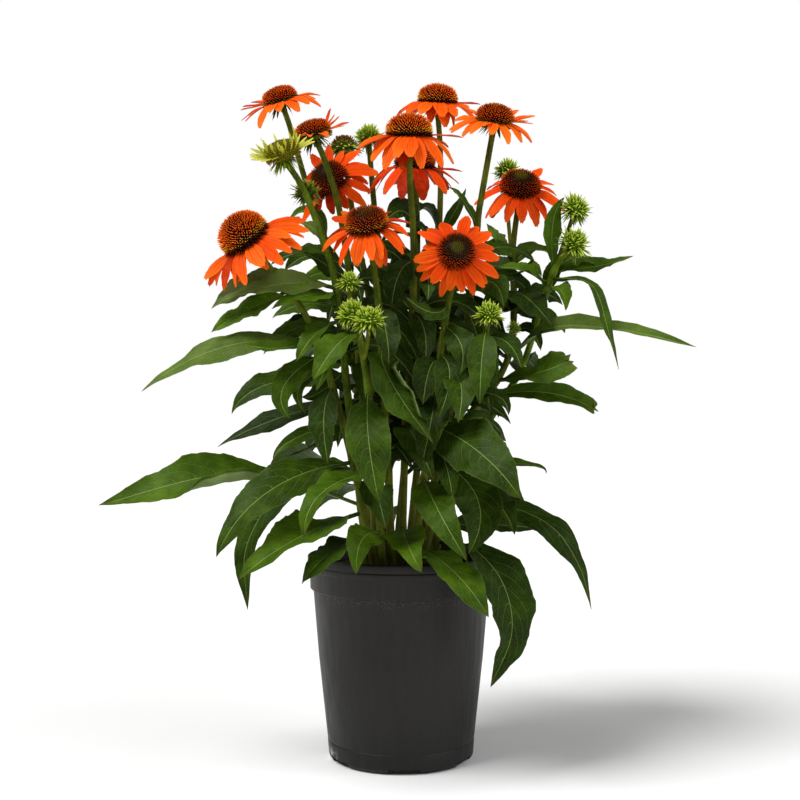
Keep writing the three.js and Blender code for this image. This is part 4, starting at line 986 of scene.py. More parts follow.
# ---------- leaves ----------

# The net of faces across and along a leaf, by the least width that it is for.
LEAF_GRIDS = {24: (14, 44), 14: (10, 30), 0: (6, 18)}
# The inner leaves: the span of heights they grow from, their size, and the room that they fill and keep.
FILL = {
    "low": 232, "high": 0.9, "step": 9, "tries": 24, "shortest": 34, "longest": 80, "grid": (10, 26),
    "middle": (14, 16, 344), "reach": (104, 84, 128), "cell": 3.6, "bloom": 33, "bud": 1.5, "front": 25,
}
# The fine form of a leaf. Lengths are in millimetres, and those of waves and quilting in shares of its width.
FINE = {
    "teeth": 19, "tooth": 0.018, "least_toothed": 12, "stalk": 1.35, "long_wave": 0.04, "short_wave": 0.022,
    "edge_wave": 0.045, "curl": 0.4, "flat_curl": 0.62, "twist": 0.6, "ragged": 0.035, "quilt": 0.022,
    "rise": 0.35, "rib": 0.9, "rib_depth": 0.45, "rib_below": 0.85, "thick": 0.55, "stalk_thick": 1.5,
    "thin_end": 0.65, "tip": 0.2,
}
# A rolled edge: the share of half the width where it starts, the share of the rest that bends, and how far.
ROLL = {"inner": 0.45, "bent": 0.4, "angle": 2.75, "least": 0.02, "start": 0.18, "end": 0.22}
# How far the waves of each leaf start after those of the leaf before it.
WAVE_STEP = 1.9


def leaf_share(s):
    """How wide a leaf is at the share s of its blade, against its widest place."""
    widest, rise = LEAF["widest"], LEAF["rise"]
    fall = rise * (1 - widest) / widest
    return s**rise * (1 - s) ** fall / (widest**rise * (1 - widest) ** fall)


def leaf_half(width, s, torn, turn):
    """Half the width at the share s of the blade, with fine teeth on all but the smallest leaves."""
    teeth = FINE["tooth"] * np.sin(TURN * FINE["teeth"] * s + 6 * turn) * (width > FINE["least_toothed"])
    half = width / 2 * leaf_share(s * torn) * (1 + teeth)
    return np.where(s < LEAF["widest"], np.maximum(half, FINE["stalk"]), half)


def leaf_margin(s, right, turn, ripple):
    """How far the edge swings out and in, in long and short waves, as a share of half the width."""
    long_waves = FINE["long_wave"] * np.sin(TURN * (2.2 * s + turn + 0.37 * right))
    short_waves = FINE["short_wave"] * np.sin(TURN * (4.9 * s + ripple + 0.61 * right))
    return (long_waves + short_waves) * smooth(s, 0.08, 0.3)


def leaf_height(width, half, u, s, right, phase, curl, ripple, turn, fold):
    """How high the blade stands: folded along its rib, swung, waved at its edges, and curled up or down."""
    swing = LEAF["wave"] * width * np.sin(TURN * LEAF["waves"] * s + phase) * smooth(s, 0, 0.12)
    swing = swing * np.minimum(1.0, 2.4 * half / width)
    edge = np.sin(TURN * (3.2 + 1.6 * ripple) * s + 9 * turn + 1.7 * right)
    edge = edge + 0.4 * np.sin(TURN * (7.4 + 2 * curl) * s + 7 * fold + 2.3 * right)
    folded = LEAF["fold"] * (0.5 + 2.4 * fold**1.6) * half * np.sqrt(u**2 + 0.01)
    waved = FINE["edge_wave"] * width * np.abs(u) ** 2.4 * edge * np.sin(np.pi * s)
    curled = FINE["curl"] * (curl - FINE["flat_curl"]) * half * u**2 * smooth(s, 0.1, 0.4)
    return folded - u * swing + waved + curled


def roll_edge(rolled, half, u, s, across_mm, height):
    """Bends one side of a blade up and over. Gives its places and how far each is tilted."""
    side, start, end = rolled
    inner, bent = ROLL["inner"], ROLL["bent"]
    rolling = smooth(s, start, start + ROLL["start"]) * (1 - smooth(s, end - ROLL["end"], end))
    amount = np.maximum(ROLL["least"], ROLL["angle"] * rolling)
    over = np.clip((u * side - inner) / (1 - inner), 0, 1)
    tilt = amount * np.minimum(over / bent, 1)
    bow = half * (1 - inner) * bent / amount
    flat = half * (1 - inner) * np.maximum(over - bent, 0)
    reach = half * inner + bow * np.sin(tilt) + flat * np.cos(amount)
    across_mm = np.where(over > 0, side * reach, across_mm)
    return across_mm, height + bow * (1 - np.cos(tilt)) + flat * np.sin(amount), side * tilt


def leaf_sides(width, whole, u, s, across_mm, vein_phase):
    """How far the upper side and the underside stand off the blade: quilted between the veins, with a groove
    along the rib. The stalk is thick, and the end is thin unless it is torn off."""
    out = np.abs(u)
    quilt = FINE["quilt"] * width * np.cos(TURN * vein_phase) * out * (1.1 - out)
    groove = np.exp(-((across_mm / FINE["rib"]) ** 2))
    top = FINE["rise"] + quilt * smooth(s, 0.02, 0.2) - FINE["rib_depth"] * groove
    stalk = 1 - smooth(s, 0.0, 0.1)
    thick = (FINE["thick"] + FINE["stalk_thick"] * stalk * (1 - u**2)) * (1 - 0.5 * u**2)
    thick = thick * (1 - FINE["thin_end"] * whole * smooth(s, 0.85, 1.0))
    return top, top - thick - FINE["rib_below"] * groove * (1 - s)


def twisted_frames(path, shares, face, s, twist):
    """The frames along a leaf, turned slowly about its rib."""
    middles, normals, sides = path.frames(shares, face)
    spin = FINE["twist"] * (twist - 0.5) * smooth(s, 0.35, 1.0)
    cos, sin = np.cos(spin), np.sin(spin)
    return middles, normals * cos + sides * sin, sides * cos - normals * sin


def add_leaf(skin, root, entry, phase, draws, grid=None):
    """A closed blade with its stalk. s goes from 0 at its foot to 1 at its tip, and u from -1 to 1 across."""
    width, petiole, torn = entry["width"], entry["petiole"], entry["torn"]
    across, along = grid or next(size for least, size in LEAF_GRIDS.items() if width >= least)
    path = Path([root, *entry["rib"]])
    blade = np.append(np.linspace(0, 1, along)[:-1] ** 0.96, 0.993)
    shares = np.concatenate([petiole * np.array([0, 0.35, 0.7]), petiole + (1 - petiole) * blade])
    s = np.clip((shares - petiole) / (1 - petiole), 0, 1)[:, None]
    u = np.linspace(-1, 1, across + 1)
    u = np.sign(u) * np.abs(u) ** 1.1
    right = (u > 0) * 1.0
    lighter, curl, ripple, turn, fold, twist = draws.random(6)
    middles, normals, sides = twisted_frames(path, shares, entry["face"], s, twist)
    half = leaf_half(width, s, torn, turn)
    across_mm = u * half * (1 + leaf_margin(s, right, turn, ripple))
    height = leaf_height(width, half, u, s, right, phase, curl, ripple, turn, fold)
    tilt = 0 * across_mm
    if entry["rolled"]:
        across_mm, height, tilt = roll_edge(entry["rolled"], half, u, s, across_mm, height)
    vein_phase = (5.0 + width / 10) * (s - 0.1 * np.abs(u) - 0.2 * u**2) + 0.25 * np.clip(u / 0.2, -1, 1)
    top, bottom = leaf_sides(width, torn == 1, u, s, across_mm, vein_phase)
    base = middles[:, None] + sides[:, None] * across_mm[..., None] + normals[:, None] * height[..., None]
    lift = normals[:, None] * np.cos(tilt)[..., None] - sides[:, None] * np.sin(tilt)[..., None]
    if torn < 1:
        ragged = path.length * FINE["ragged"] * draws.normal(size=across + 1) * smooth(s, 0.75, 1.0)
        base = base + path.tangents(shares)[:, None] * ragged[..., None]
    rings = closed_rings(base + lift * top[..., None], base + lift * bottom[..., None])
    # Undersides of leaves that are not rolled are marked 0.5, which gives them painted shade in the leaf
    # material.
    under = 1.0 if entry["rolled"] else 0.5
    place = closed_rings(vectors_of(u, s, 0), vectors_of(u, s, under))
    look = vectors_of(vein_phase, u * half, entry["tint"] + 0.1 * (lighter - 0.5))
    tip = None if torn < 1 else path.end + normals[-1] * FINE["tip"]
    skin.loft(rings, place, closed_rings(look, look), LEAF_KIND, middles[0], tip)


def leaf_spots(root, entry, start=0.0):
    """Spots spread closely over a leaf, from the share `start` of its length."""
    shares = np.linspace(start, 1, 40)
    middles, _, sides = Path([root, *entry["rib"]]).frames(shares, entry["face"])
    s = np.clip((shares - entry["petiole"]) / (1 - entry["petiole"]), 0, 1)
    reach = (entry["width"] / 2 * leaf_share(s))[:, None] * np.linspace(-1, 1, 11)
    return (middles[:, None] + sides[:, None] * reach[..., None]).reshape(-1, 3)


def cells_of(points):
    return set(map(tuple, np.floor(points / FILL["cell"]).astype(int)))


def filled_cells():
    """The cells of space that the stems and their own leaves go through."""
    cells = set()
    around = rings_round([STEM["radius"] * 1.2], [0], 8)
    for name, entry in STEMS.items():
        path = stem_path(name)
        spine = path.points(np.linspace(0, 1, int(path.length / 2)))
        cells |= cells_of((spine[:, None] + around).reshape(-1, 3))
        for grown in entry["leaves"]:
            cells |= cells_of(leaf_spots(path.at_height(grown["at"]), grown))
    return cells


def spots_kept_clear():
    """The middles of the blooms and buds, and the room that each keeps."""
    clear = [(stem_path(name).end, FILL["bloom"]) for name in BLOOMS]
    for name, entry in STEMS.items():
        if entry["bud"]:
            clear.append((stem_path(name).end, entry["bud"] * FILL["bud"]))
        clear += [(np.array(grown["shoot"][-1]), grown["radius"] * FILL["bud"]) for grown in entry["buds"]]
    return clear


def is_free(spots, cells, clear):
    """Whether a leaf with these spots is inside the bush and touches nothing that stands there."""
    share = (spots - FILL["middle"]) / FILL["reach"]
    if (np.sum(share**2, axis=1) > 1).any():
        return False
    if any((np.linalg.norm(spots - centre, axis=1) < radius).any() for centre, radius in clear):
        return False
    return not (cells_of(spots) & cells)


def drawn_leaf(root, height, draws):
    """A small leaf at a drawn angle, and where its waves start."""
    angle, size, breadth, arch, fall, lean = draws.random(6)
    out = np.array([math.cos(TURN * angle), math.sin(TURN * angle), 0])
    length = FILL["shortest"] + (FILL["longest"] - FILL["shortest"]) * size
    belly = root + out * length * 0.52 + Z_AXIS * (2 + 10 * arch)
    tip = root + out * length - Z_AXIS * length * (0.05 + 0.5 * fall)
    face = (0.6 * lean - 0.3, -1 if tip[1] < FILL["front"] else 1, 1)
    # Inner leaves get deep green tints, partly as painted shade.
    return leaf(height, [belly, tip], length * (0.29 + 0.1 * breadth), 0.15 * lean, face), 6 * arch


def make_inner_leaves():
    """Small leaves inside the bush, in the gaps that the other leaves leave. Each is tried at a few drawn
    angles, and grows where it touches nothing. The leaves listed in gaps follow."""
    draws = np.random.default_rng(3000)
    cells, clear = filled_cells(), spots_kept_clear()
    skin = Skin()
    for path in map(stem_path, STEMS):
        top = FILL["low"] + (path.end[2] - FILL["low"]) * FILL["high"]
        for height in np.arange(FILL["low"], top, FILL["step"]):
            root = path.at_height(height)
            for _ in range(FILL["tries"]):
                grown, phase = drawn_leaf(root, height, draws)
                if is_free(leaf_spots(root, grown, 0.16), cells, clear):
                    add_leaf(skin, root, grown, phase, draws, FILL["grid"])
                    cells |= cells_of(leaf_spots(root, grown))
                    break
    for index, (name, grown) in enumerate(GAP_LEAVES):
        add_leaf(skin, stem_path(name).at_height(grown["at"]), grown, index * WAVE_STEP, draws)
    skin.piece("inner_leaves", ["stem", "leaf"], "foliage", [])


# ---------- stalks ----------

STALK_FACE = (0.03, 1, 0.02)
RIDGES = {"count": 5, "height": 0.035, "turn": 1.2}
HAIRS = {"per_mm": 2.4, "half": 0.09, "length": 0.8, "more": 0.9, "from": 0.16, "span": 0.82, "seat": 0.95}
NODE_SWELL = {"height": 0.45, "reach": 4.0}
# Outlines of spikes: where their rings stand, how wide those are, and how flat the spikes are.
HAIR = ([0.0], [1.0], 1.0)
BUD_BRACT = ([0.0, 0.35, 0.78], [0.8, 1.0, 0.72], 0.6)
HANGING_BRACT = ([0.0, 0.35, 0.72], [1.0, 0.9, 0.5], 0.35)
CUP_BRACT = ([0.0, 0.3, 0.7], [1.0, 1.0, 0.55], 0.32)
FLORET = ([0.0, 0.5, 0.85], [0.9, 0.95, 0.7], 0.8)
CRUMB = ([0.04, 0.3, 0.62, 0.88], [0.55, 1.0, 0.95, 0.5], 0.85)


def add_tube(skin, path, radii, shares, tint, sides=14):
    """A round stalk with five faint ridges."""
    middles, normals, rights = path.frames(shares, STALK_FACE)
    angles = angles_round(sides)
    reach = radii[:, None] * (1 + RIDGES["height"] * np.cos(RIDGES["count"] * angles + RIDGES["turn"]))
    rings = middles[:, None] - rights[:, None] * (reach * np.cos(angles))[..., None]
    rings = rings + normals[:, None] * (reach * np.sin(angles))[..., None]
    place = vectors_of(0, shares[:, None], 0)
    skin.loft(rings, place, vectors_of(middles[:, 2:], tint, 0), STEM_KIND, middles[0], middles[-1])


def add_hairs(skin, path, draws):
    """Short stiff hairs that stand out from a stem."""
    count = int(path.length * HAIRS["per_mm"])
    shares = draws.random(count) * HAIRS["span"] + HAIRS["from"]
    middles, normals, rights = path.frames(shares, STALK_FACE)
    angles = draws.random(count)[:, None] * TURN
    out = rights * np.cos(angles) + normals * np.sin(angles)
    ways = unit(out + 0.35 * draws.normal(size=(count, 3)))
    roots = middles + out * (stem_radius(shares) * HAIRS["seat"])[:, None]
    lengths = HAIRS["length"] + HAIRS["more"] * draws.random(count)
    bends = np.full(ways.shape, -0.2 * Z_AXIS)
    place = 0.5, draws.random(count)
    skin.spikes(roots, ways, bends, lengths, HAIRS["half"], HAIR, place, BLANK, BRACT_KIND, sides=3)


def stem_radius(shares):
    return STEM["radius"] * (STEM["swell"] + (STEM["slim"] - STEM["swell"]) * shares)


# ---------- buds and bracts ----------


def dome_points(count, radius, height, lowest):
    """Points set evenly on a dome round +Z by the golden angle, with their outward ways and height shares."""
    base = math.sin(math.radians(lowest))
    number = np.arange(count) + 0.5
    rise = base + (1 - base) * number / count
    angle = number * GOLDEN_ANGLE
    flat = np.cos(np.arcsin(rise))
    points = vectors_of(flat * np.cos(angle), flat * np.sin(angle), (rise - base) / (1 - base))
    squash = height / (1 - base) / radius
    ways = unit(vectors_of(points[:, 0], points[:, 1], rise / squash))
    return points * (radius, radius, height), ways, number / count


def add_dome(skin, origin, axis, radius, height, lowest, depth, look, kind, sides=28, rings=12, foot=0.0):
    """The smooth core under florets or bracts. `depth` is its place along them, and `foot` is the height
    share that its lowest ring is given."""
    base = math.sin(math.radians(lowest))
    slopes = np.radians(np.linspace(lowest, 84, rings))
    share = (np.sin(slopes) - base) / (1 - base)
    points = turned(rings_round(radius * np.cos(slopes), height * share, sides), axis) + origin
    place = vectors_of(depth, (foot + (1 - foot) * share)[:, None], 0.5)
    skin.loft(points, place, (*look, 0), kind, origin, origin + turned(height * Z_AXIS, axis))


def add_bud_bracts(skin, origin, axis, radius, core, height, draws, open_share, shade):
    """Curved, pointed bracts all over a bud. The lower ones are dark and droop."""
    count = int(70 + radius * 6)
    points, ways, share = dome_points(count, core * 0.96, height, BUD["lowest"])
    up = share[:, None] * Z_AXIS
    ways = unit(ways + 0.3 * (Z_AXIS - up) + 0.2 * draws.normal(size=ways.shape))
    bends = 0.5 * up - 0.3 * (Z_AXIS - up) + 0.2 * draws.normal(size=ways.shape)
    lengths = radius * (0.66 - 0.34 * smooth(share, 0.3, 1.0)) * (0.75 + 0.45 * draws.random(count))
    lengths = lengths * (1 - 0.55 * open_share * smooth(share, 0.35, 0.5))
    halves = 0.078 * radius * (0.8 + 0.4 * draws.random(count))
    place = share, draws.random(count)
    dark = np.maximum(shade, 0.6 * smooth(0.3 - share, 0, 0.2))
    look = dark, open_share * smooth(share, 0.3, 0.55), 0
    roots, ways, bends = turned(points, axis) + origin, turned(ways, axis), turned(bends, axis)
    skin.spikes(roots, ways, bends, lengths, halves, BUD_BRACT, place, look, BRACT_KIND)


def add_hanging_bracts(skin, origin, axis, radius, core, draws, count=18):
    """Longer dark bracts that hang below a bud."""
    out = directions_round(axis, np.arange(count) * GOLDEN_ANGLE)
    roots = origin + out * core * 0.5 + axis * radius * 0.08
    lengths = radius * (0.55 + 0.4 * draws.random(count))
    bends = -axis * (0.3 + 0.7 * draws.random(count))[:, None]
    ways, half, place = unit(out + 0.1 * axis), 0.08 * radius, (0.1, draws.random(count))
    skin.spikes(roots, ways, bends, lengths, half, HANGING_BRACT, place, (0.8, 0, 0), BRACT_KIND)


def add_bud(skin, centre, axis, radius, draws, open_share=0.0, shade=0.0):
    """A closed bud: a core covered in bracts. With an `open_share` above 0 its top is a flat brownish dome
    of young florets."""
    axis = unit(np.array(axis))
    core = radius * BUD["core"] * (0.8 + 0.25 * open_share)
    height = radius * BUD["height"] * 0.86
    origin = centre - axis * radius * BUD["sink"]
    add_dome(skin, origin, axis, core, height, BUD["lowest"], 0.2, (0.2, 0.5 * open_share), BRACT_KIND, 18, 8)
    add_bud_bracts(skin, origin, axis, radius, core, height, draws, open_share, shade)
    add_hanging_bracts(skin, origin, axis, radius, core, draws)


def add_cup(skin, centre, axis, radius, draws, dark, count):
    """The green cup under a bloom, with two rows of narrow bracts that bend down from it."""
    axis = unit(np.array(axis))
    reach = radius * CUP["share"]
    levels = [-6.0, -3.0, -1.0, 1.0, 3.0, CUP["height"]]
    local = rings_round([2.9, 3.0, 3.9, reach * 0.75, reach * 0.98, reach], levels, 20)
    skin.loft(turned(local, axis) + centre, (0.25, 0.2, 0.0), (0.5, 0.0, 0.0), BRACT_KIND)
    row = np.arange(count) % 2
    out = directions_round(axis, TURN * (np.arange(count) + 0.3 * draws.random(count)) / count)
    roots = centre + out * reach * 0.55 + axis * (1.4 - 1.2 * row)[:, None]
    droop = np.radians(18 + 22 * row + 16 * draws.random(count))[:, None]
    ways = out * np.cos(droop) - axis * np.sin(droop)
    lengths = 8.5 + 4.0 * draws.random(count)
    bends = -0.35 * Z_AXIS * draws.random(count)[:, None] - 0.1 * axis
    place = 0.1, draws.random(count)
    skin.spikes(roots, ways, bends, lengths, 1.25, CUP_BRACT, place, (dark, 0, 0), BRACT_KIND)


# ---------- blooms ----------


def add_cone(skin, centre, flower, draws):
    """A dome of spiky florets over a dark core, on the ray disc."""
    axis = unit(np.array(flower["axis"], float))
    young = flower["kind"] == "green"
    radius = flower["radius"] * CONE["share"]
    seat = DISC_LEVEL - 2.2
    height = flower["height"] + CONE["base"] - seat
    origin = centre + axis * seat
    core, core_height = radius * 0.86, height * 0.87
    root_radius = core * 0.97
    foot, depth = (0.95, 0.35) if young else (0.0, 0.0)
    look = flower["ripe"], flower["green"]
    add_dome(skin, origin, axis, core, core_height, CONE["lowest"], depth, look, 0, foot=foot)
    add_florets(skin, origin, axis, flower, radius, height, root_radius, core_height, foot, draws)


def add_florets(skin, origin, axis, flower, radius, height, root_radius, root_height, foot, draws):
    """Spikes set by the golden angle. The lowest point out over the rays, and a young heart is short."""
    ripe = flower["ripe"]
    shrink = 0.7 if flower["kind"] == "green" else 1.0
    count = int(170 + 0.78 * radius * (radius + height))
    points, ways, share = dome_points(count, root_radius, root_height, CONE["lowest"])
    up = Z_AXIS * (1 - share[:, None])
    lift = (0.3 * smooth(share, 0.0, 0.3) - 0.12)[:, None] * up
    ways = unit(ways + lift + 0.07 * draws.normal(size=ways.shape))
    heart = 1 - (1 - ripe) * 0.5 * smooth(share, 0.66, 0.96) - 0.12 * smooth(share, 0.6, 1.0)
    low = 1.12 - 0.2 * smooth(share, 0.1, 0.25)
    lengths = (radius + CONE["spike"] - root_radius) * low * heart * shrink
    lengths = lengths * (0.9 + 0.22 * draws.random(count))
    halves = (0.52 + 0.12 * draws.random(count)) * (1 - 0.15 * smooth(share, 0.6, 1.0))
    bends = (0.22 * smooth(share, 0.05, 0.3) - 0.06)[:, None] * up
    place = foot + (1 - foot) * share, draws.random(count)
    ring = smooth(share, 0.24, 0.3) * (1 - smooth(share, 0.4, 0.52))
    look = ripe, flower["green"], flower["pollen"] * ring * (draws.random(count) < 0.75)
    roots, ways, bends = turned(points, axis) + origin, turned(ways, axis), turned(bends, axis)
    skin.spikes(roots, ways, bends, lengths, halves, FLORET, place, look)


# A ray's path: the shares of the bloom's radius where it starts, bends and leaves the cone, how much it lifts
# off the disc, and its least reach. Its form: its blunt and notched end, how much it is bent across when flat
# and when rolled, its two grooves and the rib between, its waves, its slope, and its thickness.
RAY = {
    "root": 0.5, "bend": 0.9, "edge": 0.75, "lift": 0.6, "share": 0.3, "least": 6.0, "steepest": 0.9,
    "blunt": 0.13, "notch": 0.03, "shortest": 0.5, "taper": 0.36, "flat": 0.12, "rolled": 1.5,
    "groove_at": 0.36, "groove": 0.12, "rib": 0.1, "depth": 0.4, "wave": 0.4, "waves": 1.1, "slope": 0.16,
    "foot": 0.5, "thick": 0.7,
}
# The net across and along a ray, how narrow its foot is, and how much the droop of drawn rays varies.
RAY_KINDS = {"orange": (10, 18, 0.5, 6), "green": (6, 10, 0.7, 16)}


def ray_path(centre, axis, flower, tip):
    """The midrib of a ray, from under the cone out to its tip, and the way out along the disc."""
    radius = flower["radius"]
    out = unit(tip - axis * (tip @ axis))
    reach = max(RAY["least"], tip @ out - radius * RAY["edge"])
    rise = max(0.0, tip @ axis - DISC_LEVEL)
    root = centre + out * radius * RAY["root"] + axis * (DISC_LEVEL - RAY["lift"])
    belly = centre + out * (radius * RAY["bend"] + reach * RAY["share"])
    belly = belly + axis * (DISC_LEVEL + rise * RAY["share"] + RAY["lift"]) - Z_AXIS * flower["sag"] / 3
    end = centre + tip
    return Path([root, (root + end) / 4 + belly / 2, end]), out


def ray_frames(path, v, u, lean, bite, skew):
    """The frames at each point of a ray, which ends in a blunt edge with a notch."""
    teeth = 1 + np.cos(3 * np.pi * (u + 0.3 * (skew - 0.5)))
    notch = RAY["notch"] * bite * teeth * smooth(v, 0.8, 1.0)
    blunt = RAY["blunt"] * np.abs(u) ** 2.4 * smooth(v, 0.35, 1.0)
    shares = v * np.maximum(1 - blunt - notch, RAY["shortest"])
    return [vectors.reshape(*shares.shape, 3) for vectors in path.frames(shares.ravel(), lean)]


def ray_form(v, u, width, narrow, roll, phase, grooved, draws):
    """How far each point of a ray is across and up: rolled into a channel, with grooves, a slow wave, a
    slope to one side and a raised or lowered foot."""
    broad = narrow + (1 - narrow) * smooth(v, 0.0, 0.55)
    half = width / 2 * broad * (1 - RAY["taper"] * smooth(v, 0.74, 1.0))
    bent = RAY["flat"] + RAY["rolled"] * roll * smooth(v, 0.05, 0.5)
    across_mm = half * np.sin(u * bent) / bent
    outer = np.exp(-(((np.abs(u) - RAY["groove_at"]) / RAY["groove"]) ** 2))
    grooves = outer + 0.6 * np.exp(-((u / RAY["rib"]) ** 2))
    height = half * (1 - np.cos(u * bent)) / bent - RAY["depth"] * grooves * (1 - 0.5 * v) * grooved
    height = height + RAY["wave"] * np.sin(TURN * (RAY["waves"] * v + phase)) * u**2 * smooth(v, 0.2, 0.6)
    height = height + RAY["slope"] * draws.normal() * across_mm * smooth(v, 0.2, 1.0)
    return across_mm, height + draws.uniform(-RAY["foot"], RAY["foot"]) * smooth(v, 0.0, 0.3)


def add_ray(skin, centre, axis, flower, tip, width, roll, draws, deep=False):
    """One ray: a blade that arcs out to its tip. `roll` goes from 0, flat, to 1, a narrow channel. A deep ray
    lies in the shade of other rays or blooms and is painted dark red, as painted shade. v goes from 0 at its
    foot to 1 at its tip, and u from -1 to 1 across."""
    across, along, narrow, _ = RAY_KINDS[flower["kind"]]
    path, out = ray_path(centre, axis, flower, tip)
    v = np.linspace(0, 1, along)[:, None]
    u = np.linspace(-1, 1, across + 1)
    bite, skew, phase, tint, pale = draws.random(5)
    fall = max(0.0, -(unit(tip) @ axis))
    lean = axis + out * min(RAY["steepest"], fall * 1.5) - np.array([0, flower["twist"], 0])
    middles, normals, sides = ray_frames(path, v, u, lean, bite, skew)
    grooved = flower["kind"] == "orange"
    across_mm, height = ray_form(v, u, width, narrow, roll, phase, grooved, draws)
    blade = middles + sides * across_mm[..., None] + normals * height[..., None]
    half_thick = normals * (RAY["thick"] / 2 * (1 - 0.45 * u**2) * (1 - 0.35 * v))[..., None]
    rings = closed_rings(blade + half_thick, blade - half_thick)
    place = closed_rings(vectors_of(u, v, 0), vectors_of(u, v, 1))
    # Painted shade: a shaded ray's glow is lowered by 1, which paints it deep red.
    glow = np.clip(flower["glow"] + 0.6 * (tint - 0.5) - deep, -1, 1)
    skin.loft(rings, place, (glow, tint, float(pale < 0.15 + roll)))


def angles_between(angles, count):
    """Angles that fill the gaps in a ring of `count` rays, as evenly as they can be."""
    step = TURN / count
    angles = np.sort(angles)
    added = []
    for start, end in zip(angles, np.append(angles[1:], angles[0] + TURN)):
        missing = max(0, round((end - start) / step) - 1)
        added.extend(start + (end - start) * (k + 1) / (missing + 1) for k in range(missing))
    return added


def seen_from_eye(centre, right, back, up):
    """The offset from the centre that the eye sees as `right` and `up`, and that stands `back` behind it."""
    sight = centre - EYE
    return np.array([right, 0, up]) * (1 + back / sight[1]) + sight * back / sight[1]


def add_rays(skin, centre, name, flower, draws):
    """The rays of a bloom: first the listed ones, and then the rest of the ring."""
    flower = {**flower, "twist": RAY_TWIST.get(name, 0.12)}
    axis = unit(np.array(flower["axis"], float))
    east, north = turned(np.eye(3)[:2], axis)
    angles = []
    for index, (*seen, width, roll) in enumerate(RAYS[name]):
        tip = seen_from_eye(centre, *seen)
        angles.append(math.atan2(tip @ north, tip @ east))
        add_ray(skin, centre, axis, flower, tip, width, roll, draws, index in SHADED_RAYS.get(name, ()))
    loose = RAY_KINDS[flower["kind"]][3]
    for angle in angles_between(angles, flower["count"]):
        out = directions_round(axis, angle + 0.05 * draws.normal())
        fall = math.radians(flower["droop"] + loose * draws.normal())
        length = flower["length"] * (1 + 0.06 * draws.normal())
        width = flower["width"] * (1 + 0.1 * draws.normal())
        tip = out * (flower["radius"] * RAY["edge"] + length * math.cos(fall))
        tip = tip + axis * (DISC_LEVEL - length * math.sin(fall)) - Z_AXIS * flower["sag"]
        add_ray(skin, centre, axis, flower, tip, width, 0.3 * draws.random(), draws)


def make_bloom(name, flower, seed):
    draws = np.random.default_rng(seed)
    centre = stem_path(name).end
    kind = "young_ray" if flower["kind"] == "green" else "ray"
    rays, cone = Skin(), Skin()
    add_rays(rays, centre, name, flower, draws)
    rays.piece(f"rays_{name}_open", [kind], kind + "s", [f"rays_{name}"], crease=70)
    add_cone(cone, centre, flower, draws)
    cone.piece(f"cone_{name}_florets", ["cone"], "cone", [f"cone_{name}"])


# ---------- stems with what they carry ----------


def end_way(path):
    return path.tangents(np.array([1.0]))[0]


def add_shoot(skin, path, entry, draws):
    """A side shoot with its bud."""
    way = Path([path.at_height(entry["at"]), *entry["shoot"]])
    shares = np.linspace(0, 1, max(6, int(way.length / 4)))
    add_tube(skin, way, np.full(len(shares), BRANCH_RADIUS), shares, 0.5, sides=10)
    add_bud(skin, way.end, end_way(way), entry["radius"], draws, shade=entry["shade"])


def add_stem_tube(skin, name, path):
    """A stem, with a low swelling where each leaf leaves it."""
    shares = np.linspace(0, 1, int(path.length / 4.5))
    radii = stem_radius(shares)
    heights = path.points(shares)[:, 2]
    for grown in STEMS[name]["leaves"]:
        radii = radii + NODE_SWELL["height"] * np.exp(-(((heights - grown["at"]) / NODE_SWELL["reach"]) ** 2))
    add_tube(skin, path, radii, shares, STEM_TINTS[name])


def make_stem(name, entry, seed):
    draws = np.random.default_rng(seed)
    skin = Skin()
    path = stem_path(name)
    add_stem_tube(skin, name, path)
    if entry["bud"]:
        open_share = 1.0 if name == OPENING_BUD else 0.0
        add_bud(skin, path.end, end_way(path), entry["bud"], draws, open_share)
    if name in BLOOMS:
        flower = BLOOMS[name]
        dark, count = (0.4, 32) if flower["kind"] == "green" else (0.9, 20)
        add_cup(skin, path.end, flower["axis"], flower["radius"], draws, dark, count)
    for index, grown in enumerate(entry["leaves"]):
        add_leaf(skin, path.at_height(grown["at"]), grown, index * WAVE_STEP, draws)
    for grown in entry["buds"]:
        add_shoot(skin, path, grown, draws)
    add_hairs(skin, path, draws)
    skin.piece(f"stem_{name}_grown", ["stem", "leaf", "bract"], "foliage", [f"stem_{name}"])


# ---------- pot and soil ----------

SOIL_GAP = 0.6


def inner_radius(height):
    if height > POT_BODY["height"]:
        return POT_COLLAR["radius"] - POT["wall"]
    taper = (POT_BODY["radius"] - POT_FOOT["radius"]) / POT_BODY["height"]
    return POT_FOOT["radius"] + taper * height - POT["wall"]


def rounded(profile, radius=0.7, steps=3):
    """A profile of (radius, height) points with its corners rounded off."""
    points = np.array(profile, float)
    line = [points[0]]
    for before, corner, after in zip(points, points[1:], points[2:]):
        back, forth = before - corner, after - corner
        cut = min(radius, np.linalg.norm(back) / 2.2, np.linalg.norm(forth) / 2.2)
        start, end = corner + unit(back) * cut, corner + unit(forth) * cut
        line.extend(bend(start, corner, end, t) for t in np.linspace(0, 1, steps))
    return np.array([*line, points[-1]])


def pot_outside():
    foot, height = POT_FOOT["radius"], POT_FOOT["height"]
    body, brim = POT_BODY["radius"], POT_BODY["height"]
    collar, top = POT_COLLAR["radius"], POT_COLLAR["height"]
    lip, bead = POT_LIP["radius"], POT_LIP["bead"]
    return [
        (0, 0),
        (POT["base"], 0),
        (foot - 0.6, 3.5),
        (foot + 0.3, height),
        (foot - POT_FOOT["groove"], height + 0.8),
        (foot + 0.4, height + 2.4),
        (body - 5.0, brim * 0.6),
        (body, brim),
        (collar, brim + 1.2),
        (collar + 0.5, top - 0.8),
        (lip - 0.5, top),
        (lip - 0.1, top + 4.0),
        (lip - 0.8, top + 4.7),
        (lip - 0.1, top + 5.4),
        (lip, POT["height"] - bead),
        (lip - bead, POT["height"]),
    ]


